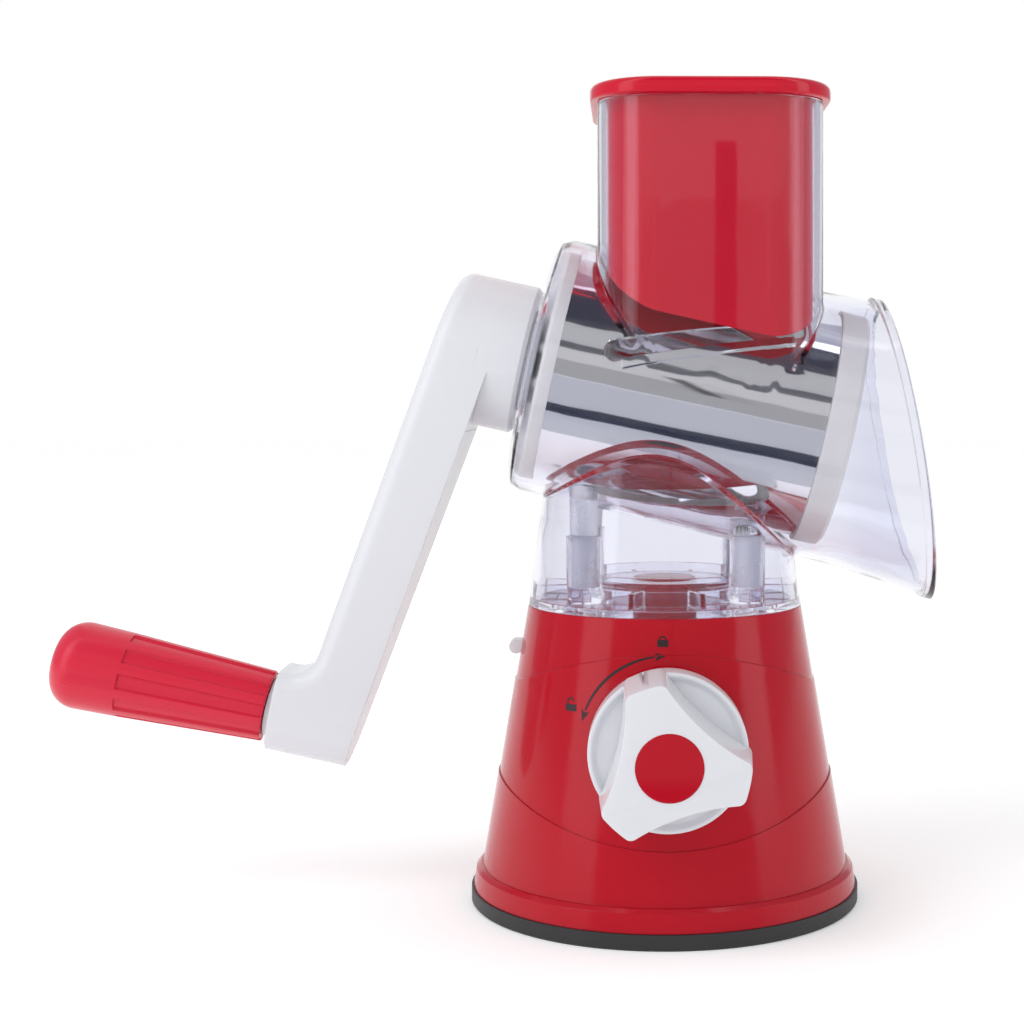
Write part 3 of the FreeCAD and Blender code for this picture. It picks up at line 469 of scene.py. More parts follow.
class Finishes:
    """Every finish of the object, each made once."""

    def __init__(self) -> None:
        """Makes the materials."""
        self.red = Plastic(
            "red_foot_plastic", (0.40, 0.0015, 0.010), (0.46, 0.003, 0.016), shine=0.28
        ).material()
        # Painted light: a brighter copy of the foot's red, standing in for the stronger light on the pusher.
        self.pusher_lit_red = Plastic(
            "red_pusher_lit_plastic", (0.52, 0.003, 0.018), (0.57, 0.005, 0.026), shine=0.35
        ).material()
        # Painted light: a brighter copy of the foot's red, standing in for the stronger light on the grip.
        self.grip_lit_red = Plastic(
            "red_grip_lit_plastic", (0.60, 0.006, 0.032), (0.66, 0.010, 0.044),
            roughness=0.25, roughness_spread=0.15, shine=0.45
        ).material()
        self.white = Plastic(
            "white_gloss_plastic", (0.67, 0.68, 0.72), (0.72, 0.73, 0.77),
            roughness=0.2, roughness_spread=0.12, subsurface=0.15, shine=0.35
        ).material()
        self.ivory = Plastic(
            "ivory_ring_plastic", (0.66, 0.65, 0.64), (0.72, 0.71, 0.70),
            roughness=0.28, roughness_spread=0.12, subsurface=0.15
        ).material()
        self.grey = Plastic(
            "inner_grey_plastic", (0.45, 0.45, 0.46), (0.52, 0.52, 0.53),
            roughness=0.4, roughness_spread=0.15
        ).material()
        # The clear plastic's second colour is a painted shade, darker toward the chute.
        self.clear = ClearPlastic("clear_plastic", (0.91, 0.915, 0.97), (0.84, 0.85, 0.93)).material()
        self.frosted = FrostedPlastic("frosted_plastic", (0.80, 0.81, 0.88), (0.88, 0.89, 0.95)).material()
        self.mirror = Steel("drum_mirror_steel", (0.93, 0.93, 0.94), roughness=0.06).material()
        self.steel = Steel(
            "turned_steel", (0.60, 0.60, 0.62), roughness=0.3, line_depth=0.00001
        ).material()
        self.rubber = Rubber("black_foot_rubber", (0.012, 0.012, 0.013), (0.03, 0.03, 0.032)).material()
        self.ink = Ink("dark_print_ink", (0.018, 0.006, 0.008), (0.04, 0.006, 0.010)).material()


def arc_points(centre: Point2, radius: float, start: float, end: float, steps: int) -> list[Point2]:
    """Points on an arc.

    Args:
        centre: The arc's centre.
        radius: Its radius.
        start: First angle in degrees.
        end: Last angle in degrees.
        steps: How many chords the arc has.

    Returns:
        The points from start to end, both included.
    """
    angles = [math.radians(start + (end - start) * i / steps) for i in range(steps + 1)]
    return [(centre[0] + radius * math.cos(a), centre[1] + radius * math.sin(a)) for a in angles]


def rounded(corners: Iterable[tuple[float, float, float]], steps: int = 6) -> list[Point2]:
    """An open outline with its inner corners rounded.

    Args:
        corners: Each corner's place and the radius of its round.
        steps: Chords in a round.

    Returns:
        The outline's points.
    """
    given = list(corners)
    points: list[Point2] = [given[0][:2]]
    for before, here, after in zip(given, given[1:], given[2:]):
        spot, radius = Vector(here[:2]), here[2]
        back = (Vector(before[:2]) - spot).normalized()
        ahead = (Vector(after[:2]) - spot).normalized()
        half = back.angle(ahead) / 2
        if radius <= 0:
            points.append(tuple(spot))
            continue
        reach = radius / math.tan(half)
        middle = spot + (back + ahead).normalized() * (radius / math.sin(half))
        first, last = spot + back * reach - middle, spot + ahead * reach - middle
        turn = first.angle_signed(last)
        for i in range(steps + 1):
            swing = Matrix.Rotation(-turn * i / steps, 2)
            points.append(tuple(middle + swing @ first))
    points.append(given[-1][:2])
    return points


class Workpiece:
    """A bmesh on its way to becoming a piece of the object."""

    def __init__(self) -> None:
        """Starts an empty bmesh."""
        self.bm = bmesh.new()

    def copy_of(self, node: str) -> "Workpiece":
        """Takes in a carried-over node's mesh with its facets joined.

        Args:
            node: The node's name.

        Returns:
            This workpiece.
        """
        self.bm.from_mesh(frame["nodes"][node].data)
        bmesh.ops.remove_doubles(self.bm, verts=self.bm.verts[:], dist=MERGE_DISTANCE)
        return self

    def spin(self, profile: list[Point2], steps: int) -> "Workpiece":
        """Turns a profile about the X axis.

        Args:
            profile: Points as (along the axis, out from it).
            steps: How many strips go round.

        Returns:
            This workpiece.
        """
        verts = [self.bm.verts.new((s, 0, r)) for s, r in profile]
        edges = [self.bm.edges.new(pair) for pair in zip(verts, verts[1:])]
        bmesh.ops.spin(
            self.bm, geom=verts + edges, cent=(0, 0, 0), axis=(1, 0, 0), angle=math.tau,
            steps=steps, use_merge=True
        )
        bmesh.ops.remove_doubles(self.bm, verts=self.bm.verts[:], dist=MERGE_DISTANCE)
        return self

    def prism(self, outline: list[Point2], low: float, high: float) -> "Workpiece":
        """Extrudes an outline in the YZ plane along X.

        Args:
            outline: Points as (y, z).
            low: Where along X it starts.
            high: Where it ends.

        Returns:
            This workpiece.
        """
        verts = [self.bm.verts.new((low, y, z)) for y, z in outline]
        face = self.bm.faces.new(verts)
        grown = bmesh.ops.extrude_face_region(self.bm, geom=[face])["geom"]
        moved = [g for g in grown if isinstance(g, bmesh.types.BMVert)]
        bmesh.ops.translate(self.bm, verts=moved, vec=(high - low, 0, 0))
        return self

    def box(self, size: Vector, middle: Vector) -> "Workpiece":
        """Adds a box.

        Args:
            size: Its three edges.
            middle: Its middle.

        Returns:
            This workpiece.
        """
        shape = Matrix.Translation(middle) @ Matrix.Diagonal((*size, 1.0))
        bmesh.ops.create_cube(self.bm, size=1.0, matrix=shape)
        return self

    def bevel(self, wanted: Callable[[bmesh.types.BMEdge], bool], size: float, segments: int) -> "Workpiece":
        """Rounds the edges that a test picks.

        Args:
            wanted: The test.
            size: How far the round reaches from the edge.
            segments: Strips in the round.

        Returns:
            This workpiece.
        """
        edges = [e for e in self.bm.edges if wanted(e)]
        bmesh.ops.bevel(
            self.bm, geom=edges, offset=size, offset_type="OFFSET", segments=segments, profile=0.5,
            affect="EDGES", clamp_overlap=True, material=-1
        )
        return self

    def place(self, matrix: Matrix) -> "Workpiece":
        """Moves the whole workpiece."""
        bmesh.ops.transform(self.bm, matrix=matrix, verts=self.bm.verts[:])
        return self

    def piece(
        self, name: str, material: bpy.types.Material, sharp: float = 35.0, turned: bool = True
    ) -> bpy.types.Object:
        """Closes the workpiece as an object at the origin.

        Args:
            name: The piece's name.
            material: Its material.
            sharp: Edges that turn more than this many degrees stay crisp.
            turned: Whether its faces are turned outward first.

        Returns:
            The new object.
        """
        if turned:
            bmesh.ops.recalc_face_normals(self.bm, faces=self.bm.faces[:])
        for face in self.bm.faces:
            face.smooth = True
        for edge in self.bm.edges:
            edge.smooth = len(edge.link_faces) == 2 and edge.calc_face_angle(0) < math.radians(sharp)
        mesh = bpy.data.meshes.new(name)
        self.bm.to_mesh(mesh)
        self.bm.free()
        mesh.materials.append(material)
        made = bpy.data.objects.new(name, mesh)
        bpy.context.scene.collection.objects.link(made)
        return made


def cut(piece: bpy.types.Object, cutter: bpy.types.Object) -> None:
    """Takes a cutter's shape out of a piece and removes the cutter.

    Args:
        piece: The piece.
        cutter: The cutter.
    """
    step = piece.modifiers.new("cut", "BOOLEAN")
    step.operation = "DIFFERENCE"
    step.object = cutter
    step.solver = "EXACT"
    graph = bpy.context.evaluated_depsgraph_get()
    result = bpy.data.meshes.new_from_object(piece.evaluated_get(graph))
    piece.modifiers.clear()
    piece.data = result
    bpy.data.objects.remove(cutter)


def hang(piece: bpy.types.Object, body: str, slot: Slot, *nodes: str) -> bpy.types.Object:
    """Puts a piece on its body and stands it in for nodes, which take its material.

    Args:
        piece: The piece.
        body: The body that it moves with.
        slot: Its slot in the record; not used.
        nodes: Names of the nodes that it stands for.

    Returns:
        The piece.
    """
    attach(piece, body)
    stand_in(piece, *nodes)
    log.info("%s rides on %s", piece.name, body)
    return piece


def stand_in(piece: bpy.types.Object, *nodes: str) -> None:
    """Shows a piece in place of some nodes, and gives them its material.

    Args:
        piece: The piece.
        nodes: The nodes' names.
    """
    for node in nodes:
        mesh = frame["nodes"][node].data
        mesh.materials.clear()
        mesh.materials.append(piece.data.materials[0])
    if nodes:
        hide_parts(*nodes)


def joint_frame(name: str) -> Matrix:
    """A frame whose X axis lies along a joint's axis, with its Z axis as near to upright as it can be.

    Args:
        name: The joint's name.

    Returns:
        The frame's matrix.
    """
    joint = next(j for j in frame["joints"] if j["name"] == name)
    along = Vector(joint["axis"]).normalized()
    side = Vector((0, 0, 1)).cross(along).normalized()
    up = along.cross(side)
    turn = Matrix((along, side, up)).transposed().to_4x4()
    return Matrix.Translation(Vector(joint["pos_m"])) @ turn


def along_range(node: str, way: Matrix) -> tuple[float, float]:
    """How far a node reaches along the X axis of a frame, lowest and highest.

    Args:
        node: The node's name.
        way: The frame's matrix.

    Returns:
        The lowest and the highest place.
    """
    back = way.inverted()
    places = [(back @ v.co).x for v in frame["nodes"][node].data.vertices]
    return min(places), max(places)


def body_of(node: str) -> str:
    """The body that a carried-over node belongs to."""
    bodies = frame["record"]["behaviour"]["bodies"]
    return next(name for name, nodes in bodies.items() if node in nodes)


def skin(
    node: str, slot: Slot, material: bpy.types.Material, sharp: float = SKIN_CREASE
) -> bpy.types.Object:
    """Shows a carried-over node through a copy whose facets are joined and shaded round.

    Args:
        node: The node's name.
        slot: Its slot in the record.
        material: Its material.
        sharp: Edges that turn more than this many degrees stay crisp.

    Returns:
        The copy, already on its body.
    """
    copy = Workpiece().copy_of(node).piece(f"{node}_skin", material, sharp, turned=False)
    flats = copy.modifiers.new("flats_first", "WEIGHTED_NORMAL")
    flats.keep_sharp = True
    return hang(copy, body_of(node), slot, node)


@dataclass
class Assembly:
    """A sub-assembly, which wears the object's finishes."""

    finishes: Finishes

    def build(self) -> None:
        """Builds and dresses the sub-assembly's pieces."""
        raise NotImplementedError


@dataclass
class Foot(Assembly):
    """The red cone with its clear locking ring and the mechanism inside."""

    ring_foot: float = 98.3 * MM
    deck: float = 97.25 * MM
    deck_radius: float = 25.8 * MM
    boss_radius: float = 10.4 * MM
    boss_top: float = 106.0 * MM
    boss_sink: float = 0.4 * MM
    boss_draft: float = 1 * MM
    boss_round: float = 0.8 * MM
    coils: int = 7
    wire: float = 0.32 * MM
    wire_sides: int = 10
    steps_per_turn: int = 36
    latch_travel: float = 4.0 * MM

    def build(self) -> None:
        """Dresses the shell and what it holds."""
        shell = skin("base_shell", Slot.RED, self.finishes.red)
        shell.data.materials.append(self.finishes.clear)
        heights = [v.co.z for v in shell.data.vertices]
        for face in shell.data.polygons:
            if max(heights[i] for i in face.vertices) > self.ring_foot:
                face.material_index = 1
        self._boss()
        skin("inner_frame", Slot.INNER, self.finishes.grey)
        skin("base_screws", Slot.SCREW, self.finishes.steel)
        skin("suction_stem", Slot.INNER, self.finishes.grey)
        skin("cam_shaft", Slot.INNER, self.finishes.grey)
        skin("knob_screw", Slot.SCREW, self.finishes.steel)
        skin("release_latch", Slot.WHITE, self.finishes.white)
        self._spring()

    def _boss(self) -> None:
        """The red boss on the deck, which shows through the clear ring."""
        outline = rounded([
            (self.deck - self.boss_sink, 0, 0),
            (self.deck - self.boss_sink, self.deck_radius, 0),
            (self.deck, self.deck_radius, 0),
            (self.deck, self.boss_radius + self.boss_draft, self.boss_round),
            (self.boss_top, self.boss_radius, self.boss_round),
            (self.boss_top, 0, 0),
        ])
        upright = Matrix.Rotation(math.radians(-90), 4, "Y")
        boss = Workpiece().spin(outline, ROUND_STEPS).place(upright).piece("deck_boss", self.finishes.red)
        hang(boss, "base", Slot.RED)

    def _spring(self) -> None:
        """Winds the latch's spring."""
        low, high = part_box("latch_spring")
        middle = (low + high) / 2
        radius = (high.x - low.x) / 2 - self.wire
        first, last = low.z + self.wire, high.z - self.wire
        work = Workpiece()
        total = self.coils * self.steps_per_turn
        rings = [self._wire_ring(work, middle, radius, first, last, i / total) for i in range(total + 1)]
        for here, there in zip(rings, rings[1:]):
            for a, b, c, d in zip(here, here[1:] + here[:1], there[1:] + there[:1], there):
                work.bm.faces.new((a, b, c, d))
        work.bm.faces.new(rings[0])
        work.bm.faces.new(rings[-1])
        spring = work.piece("latch_coil", self.finishes.steel)
        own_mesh(spring)
        hang(spring, "base", Slot.SPRING, "latch_spring")

    def _wire_ring(
        self, work: Workpiece, middle: Vector, radius: float, first: float, last: float, share: float
    ) -> list[bmesh.types.BMVert]:
        """One ring of points round the wire.

        Args:
            work: The workpiece that takes the points.
            middle: The coil's middle.
            radius: The coil's radius to the wire's middle.
            first: Height of the wire's start.
            last: Height of its end.
            share: How far along the wire the ring is, from 0 to 1.

        Returns:
            The ring's points.
        """
        turn = math.tau * self.coils * share
        out = Vector((math.cos(turn), math.sin(turn), 0))
        spot = Vector((middle.x, middle.y, first + (last - first) * share)) + out * radius
        ring = []
        for i in range(self.wire_sides):
            a = math.tau * i / self.wire_sides
            round_wire = math.cos(a) * out + Vector((0, 0, math.sin(a)))
            ring.append(work.bm.verts.new(spot + self.wire * round_wire))
        return ring


@dataclass
class SuctionCup(Assembly):
    """The black rubber foot."""

    still_below: float = 6.0 * MM
    follows_above: float = 11.0 * MM

    def build(self) -> None:
        """Dresses the cup."""
        work = Workpiece().copy_of("suction_cup")
        cup = work.piece("cup_rubber", self.finishes.rubber, SKIN_CREASE, turned=False)
        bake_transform(cup)
        stand_in(cup, "suction_cup")
        log.info("%s bends between base and stem", cup.name)


@dataclass
class ClearBody(Assembly):
    """The clear neck and the clear barrel with its hopper and chute, pinned together by four pegs."""

    peg_places: tuple[Point2, ...] = tuple((x * MM, y * MM) for x in (-26, 26) for y in (-20, 20))
    socket_radius: float = 5.0 * MM
    peg_radius: float = 4.8 * MM
    sockets: Point2 = (99.0 * MM, 125.0 * MM)
    pegs: Point2 = (99.0 * MM, 128.0 * MM)
    peg_lean: float = math.tan(math.radians(12.5))

    def build(self) -> None:
        """Dresses both mouldings and frosts their pegs and sockets."""
        neck = skin("body_neck", Slot.CLEAR, self.finishes.clear)
        self._frost(neck, self.socket_radius, self.sockets, 0.0)
        barrel = skin("barrel_housing", Slot.CLEAR, self.finishes.clear)
        self._frost(barrel, self.peg_radius, self.pegs, self.peg_lean)

    def _frost(self, piece: bpy.types.Object, radius: float, heights: Point2, lean: float) -> None:
        """Gives the faces round each peg the frosted finish.

        Args:
            piece: The moulding's skin.
            radius: How far from a peg's axis the frost reaches.
            heights: Where it starts, and where it ends above the foot's middle.
            lean: How much lower it ends toward the outlet.
        """
        piece.data.materials.append(self.finishes.frosted)
        for face in piece.data.polygons:
            flat = face.center.xy
            near = any((flat - Vector(spot)).length < radius for spot in self.peg_places)
            if near and heights[0] < face.center.z < heights[1] - lean * face.center.x:
                face.material_index = 1


@dataclass
class Drum(Assembly):
    """The slotted steel drum between its two ivory rings."""

    crease: float = 25.0

    def build(self) -> None:
        """Dresses shell and rings."""
        skin("drum_shell", Slot.DRUM, self.finishes.mirror, self.crease)
        skin("drum_front_ring", Slot.WHITE, self.finishes.ivory)
        skin("drum_rear_cap", Slot.WHITE, self.finishes.ivory)


@dataclass
class Crank(Assembly):
    """The white arm, its cover, the shaft through the barrel's rear and the grip's pin."""

    def build(self) -> None:
        """Dresses the crank's pieces."""
        for node in ("crank_arm", "crank_cover", "drive_shaft", "grip_spindle"):
            skin(node, Slot.WHITE, self.finishes.white)
        skin("shaft_screw", Slot.SCREW, self.finishes.steel)


@dataclass
class Grip(Assembly):
    """The fluted grip that turns freely on the crank."""

    start_radius: float = 11.7 * MM
    end_radius: float = 14.65 * MM
    bore_radius: float = 4.05 * MM
    bore_depth: float = 30 * MM
    bore_round: float = 0.3 * MM
    lip_round: float = 0.5 * MM
    dome_round: float = 9.0 * MM
    end_gap: float = 0.2 * MM
    flutes: int = 10
    flute_share: float = 0.6
    flute_depth: float = 0.75 * MM
    flute_end: float = 24.0 * MM
    flute_step: float = 0.25 * MM
    flute_margin: float = 0.05 * MM
    flute_wall: float = 0.1
    strips_per_flute: int = 20
    taper_rings: int = 24
    arc_steps: int = 10

    def build(self) -> None:
        """Spins the tapered body and sinks its flutes."""
        way = joint_frame("grip_spin")
        low, high = along_range("crank_grip", way)
        low += self.end_gap
        slope = (self.end_radius - self.start_radius) / (high - low - self.dome_round)
        flute_at = low + self.flute_end
        flute_radius = self.start_radius + slope * (high - flute_at)
        rings = self.taper_rings
        side = [
            (high + (flute_at - high) * i / rings, self.start_radius + slope * (high - flute_at) * i / rings)
            for i in range(1, rings + 1)
        ]
        outline = rounded([
            (high - self.bore_depth, self.bore_radius, 0),
            (high, self.bore_radius, self.bore_round),
            (high, self.start_radius, self.lip_round),
            *[(s, r, 0) for s, r in side],
            (flute_at - self.flute_step, flute_radius, 0),
            (low, self.end_radius, self.dome_round),
            (low, 0, 0),
        ], self.arc_steps)
        work = Workpiece().spin(outline, self.flutes * self.strips_per_flute)
        self._sink_flutes(work, flute_at)
        grip = work.place(way).piece("fluted_grip", self.finishes.grip_lit_red, SOFT_CREASE)
        hang(grip, "grip", Slot.RED, "crank_grip")

    def _sink_flutes(self, work: Workpiece, flute_at: float) -> None:
        """Presses the outer skin in along each flute, with a square end toward the dome.

        Args:
            work: The spun grip.
            flute_at: Where the flutes end toward the dome.
        """
        pitch = math.tau / self.flutes
        past_bore = (self.bore_radius + self.start_radius) / 2
        for vert in work.bm.verts:
            out = math.hypot(vert.co.y, vert.co.z)
            if vert.co.x < flute_at - self.flute_margin or out < past_bore:
                continue
            turn = math.atan2(vert.co.z, vert.co.y) / pitch
            off = abs(turn - round(turn)) * 2
            wall = (self.flute_share - off) / self.flute_wall
            share = min(1.0, max(0.0, wall))
            less = 1 - self.flute_depth * share / out
            vert.co.y *= less
            vert.co.z *= less


@dataclass
class LockKnob(Assembly):
    """The white three-lobed knob on its dished skirt, and the red disc in its middle."""

    skirt_radius: float = 24.3 * MM
    skirt_depth: float = 10.0 * MM
    skirt_round: float = 0.4 * MM
    skirt_steps: int = 144
    rim_width: float = 1.2 * MM
    rim_round: float = 0.7 * MM
    dish_slope: float = 1.5 * MM
    dish_depth: float = 1.6 * MM
    dish_round: float = 1.2 * MM
    hub_radius: float = 8.0 * MM
    lobe_radius: float = 23.3 * MM
    lobe_bow: float = 0.5 * MM
    lobe_half_width: float = 6.0 * MM
    waist_radius: float = 14.6 * MM
    handle_sink: float = 1 * MM
    pointer_angle: float = 107.7
    corner_round: float = 1.8 * MM
    edge_round: float = 1.3 * MM
    edge_steps: int = 5
    flare: float = 1.06
    groove_width: float = 0.7 * MM
    groove_depth: float = 0.5 * MM
    groove_reach: float = 4 * MM
    groove_start: float = 3 * MM
    groove_past: float = 2 * MM
    cap_radius: float = 10.1 * MM
    cap_proud: float = 0.3 * MM
    cap_depth: float = 3 * MM
    cap_foot_round: float = 0.2 * MM
    cap_round: float = 0.5 * MM
    arc_steps: int = 6
    tip_steps: int = 8
    hollow_steps: int = 20
    corner_turn: float = math.radians(35)

    def build(self) -> None:
        """Builds skirt, handle and disc about the knob's axis."""
        way = joint_frame("knob_turn")
        back, front = along_range("suction_knob", way)
        skirt_front = back + self.skirt_depth
        low = skirt_front - self.dish_depth - self.handle_sink
        skirt = self._skirt(back, skirt_front)
        skirt = skirt.place(way).piece("knob_skirt", self.finishes.white, SOFT_CREASE)
        handle = self._handle(low, front - self.cap_proud)
        handle = handle.place(way).piece("knob_handle", self.finishes.white, SOFT_CREASE)
        self._cut_groove(skirt, way, back + self.groove_start, front)
        self._cut_groove(handle, way, back, front)
        hang(skirt, "knob", Slot.WHITE, "suction_knob")
        hang(handle, "knob", Slot.WHITE)
        self._cap(way, front)

    def _skirt(self, back: float, front: float) -> Workpiece:
        """The round skirt with a dish behind its thin rim.

        Args:
            back: Where the skirt starts along the axis.
            front: Where it ends.

        Returns:
            The skirt's workpiece.
        """
        inner = self.skirt_radius - self.rim_width
        floor = front - self.dish_depth
        outline = rounded([
            (back, self.hub_radius, 0),
            (back, self.skirt_radius, self.skirt_round),
            (front, self.skirt_radius, self.rim_round),
            (front, inner, self.rim_round),
            (floor, inner - self.dish_slope, self.dish_round),
            (floor, self.hub_radius, 0),
        ], self.tip_steps)
        return Workpiece().spin(outline, self.skirt_steps)

    def _handle(self, low: float, high: float) -> Workpiece:
        """The lobed handle, wider toward its foot, with soft corners and edges.

        Args:
            low: Where the handle starts along the axis.
            high: Where it ends.

        Returns:
            The handle's workpiece.
        """
        work = Workpiece().prism(self._lobe_outline(), low, high)

        def corner(edge: bmesh.types.BMEdge) -> bool:
            """Whether an edge is one of the outline's upright corners."""
            upright = abs(edge.verts[0].co.x - edge.verts[1].co.x) > (high - low) / 2
            return upright and edge.calc_face_angle(0) > self.corner_turn

        work.bevel(corner, self.corner_round, self.arc_steps)
        for vert in work.bm.verts:
            if vert.co.x < (low + high) / 2:
                vert.co.y *= self.flare
                vert.co.z *= self.flare
        top = high - MERGE_DISTANCE
        return work.bevel(lambda e: all(v.co.x > top for v in e.verts), self.edge_round, self.edge_steps)

    def _lobe_outline(self) -> list[Point2]:
        """Three broad tips joined by hollow arcs, as (side, up) about the axis.

        Returns:
            The outline's points.
        """
        middles = [math.radians(self.pointer_angle + 120 * i) for i in range(3)]
        outs = [Vector((math.cos(m), math.sin(m))) for m in middles]
        points: list[Point2] = []
        for out, following in zip(outs, outs[1:] + outs[:1]):
            left, next_left = out.orthogonal(), following.orthogonal()
            first = out * self.lobe_radius - left * self.lobe_half_width
            last = out * self.lobe_radius + left * self.lobe_half_width
            next_first = following * self.lobe_radius - next_left * self.lobe_half_width
            waist = (out + following).normalized() * self.waist_radius
            tip = through([first, out * (self.lobe_radius + self.lobe_bow), last], self.tip_steps)
            hollow = through([last, waist, next_first], self.hollow_steps)
            points += [tuple(p) for p in tip[:-1] + hollow[:-1]]
        return points

    def _cut_groove(self, piece: bpy.types.Object, way: Matrix, low: float, high: float) -> None:
        """Cuts the pointer's thin groove into the pointed tip's end.

        Args:
            piece: Skirt or handle.
            way: The knob's frame.
            low: Where the groove starts along the axis.
            high: Where it ends.
        """
        tip = self.lobe_radius * self.flare if piece.name == "knob_handle" else self.skirt_radius
        middle = tip - self.groove_depth + self.groove_reach / 2
        high += self.groove_past
        size = Vector((high - low, self.groove_width, self.groove_reach))
        work = Workpiece().box(size, Vector(((low + high) / 2, 0, middle)))
        turn = Matrix.Rotation(math.radians(self.pointer_angle - 90), 4, "X")
        cut(piece, work.place(way @ turn).piece("groove_cutter", piece.data.materials[0]))

    def _cap(self, way: Matrix, front: float) -> None:
        """The red disc, a little proud of the knob's face and softly rounded.

        Args:
            way: The knob's frame.
            front: How far the disc reaches along the axis.
        """
        outline = rounded([
            (front - self.cap_depth, 0, 0),
            (front - self.cap_depth, self.cap_radius, self.cap_foot_round),
            (front, self.cap_radius, self.cap_round),
            (front, 0, 0),
        ], self.arc_steps)
        cap = Workpiece().spin(outline, ROUND_STEPS).place(way).piece("knob_disc", self.finishes.red)
        hang(cap, "knob", Slot.RED, "knob_cap")


def through(points: list[Vector], steps: int) -> list[Vector]:
    """An arc through three points.

    Args:
        points: The first, a middle and the last point.
        steps: How many chords the arc has.

    Returns:
        Points from the first to the last, both included.
    """
    a, b, c = points
    ab, ac = b - a, c - a
    cross = ab.cross(ac)
    if abs(cross) < STRAIGHT:
        return [a.lerp(c, i / steps) for i in range(steps + 1)]
    near, far = ab.length_squared, ac.length_squared
    centre = a + Vector((ac.y * near - ab.y * far, ab.x * far - ac.x * near)) / (2 * cross)
    start = angle_of(a - centre)
    sweep = (angle_of(c - centre) - start) % math.tau
    if (angle_of(b - centre) - start) % math.tau > sweep:
        sweep -= math.tau
    degrees = [math.degrees(v) for v in (start, start + sweep)]
    return [Vector(p) for p in arc_points(tuple(centre), (a - centre).length, *degrees, steps)]


def angle_of(arrow: Vector) -> float:
    """The direction of a flat vector, in radians."""
    return math.atan2(arrow.y, arrow.x)


@dataclass
class Pusher(Assembly):
    """The red pusher's cap, with soft edges over the hopper's rim."""

    corner: float = 22.4 * MM
    top_round: float = 2.2 * MM
    low_round: float = 0.6 * MM
    plug_inset: float = 9.6 * MM
    plug_depth: float = 3.0 * MM
    plug_sink: float = 1 * MM
    top_steps: int = 6
    low_steps: int = 3
    corner_steps: int = 12

    def build(self) -> None:
        """Extrudes the rounded plate and its plug."""
        low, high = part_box("pusher_lid")
        plate_low = low.z + self.plug_depth
        middle = (low + high) / 2
        half = (high - low) / 2
        work = Workpiece()
        self._slab(work, middle, half, self.corner, plate_low, high.z)
        top, bottom = high.z - MERGE_DISTANCE, plate_low + MERGE_DISTANCE
        work.bevel(lambda e: all(v.co.z > top for v in e.verts), self.top_round, self.top_steps)
        work.bevel(lambda e: all(v.co.z < bottom for v in e.verts), self.low_round, self.low_steps)
        plug = half - Vector((self.plug_inset, self.plug_inset, 0))
        self._slab(work, middle, plug, self.corner - self.plug_inset, low.z, plate_low + self.plug_sink)
        lid = work.piece("pusher_cap", self.finishes.pusher_lit_red, SOFT_CREASE)
        hang(lid, "pusher", Slot.RED, "pusher_lid")
        skin("pusher_body", Slot.RED, self.finishes.pusher_lit_red)

    def _slab(
        self, work: Workpiece, middle: Vector, half: Vector, corner: float, low: float, high: float
    ) -> None:
        """Adds an upright prism with rounded corners.

        Args:
            work: The workpiece that takes it.
            middle: Its middle in plan.
            half: Half its length and width.
            corner: Radius of its corners.
            low: Height of its foot.
            high: Height of its top.
        """
        verts = []
        for i, (sx, sy) in enumerate(((1, 1), (-1, 1), (-1, -1), (1, -1))):
            centre = (middle.x + sx * (half.x - corner), middle.y + sy * (half.y - corner))
            verts += arc_points(centre, corner, 90 * i, 90 * i + 90, self.corner_steps)
        face = work.bm.faces.new([work.bm.verts.new((x, y, low)) for x, y in verts])
        grown = bmesh.ops.extrude_face_region(work.bm, geom=[face])["geom"]
        moved = [g for g in grown if isinstance(g, bmesh.types.BMVert)]
        bmesh.ops.translate(work.bm, verts=moved, vec=(0, 0, high - low))


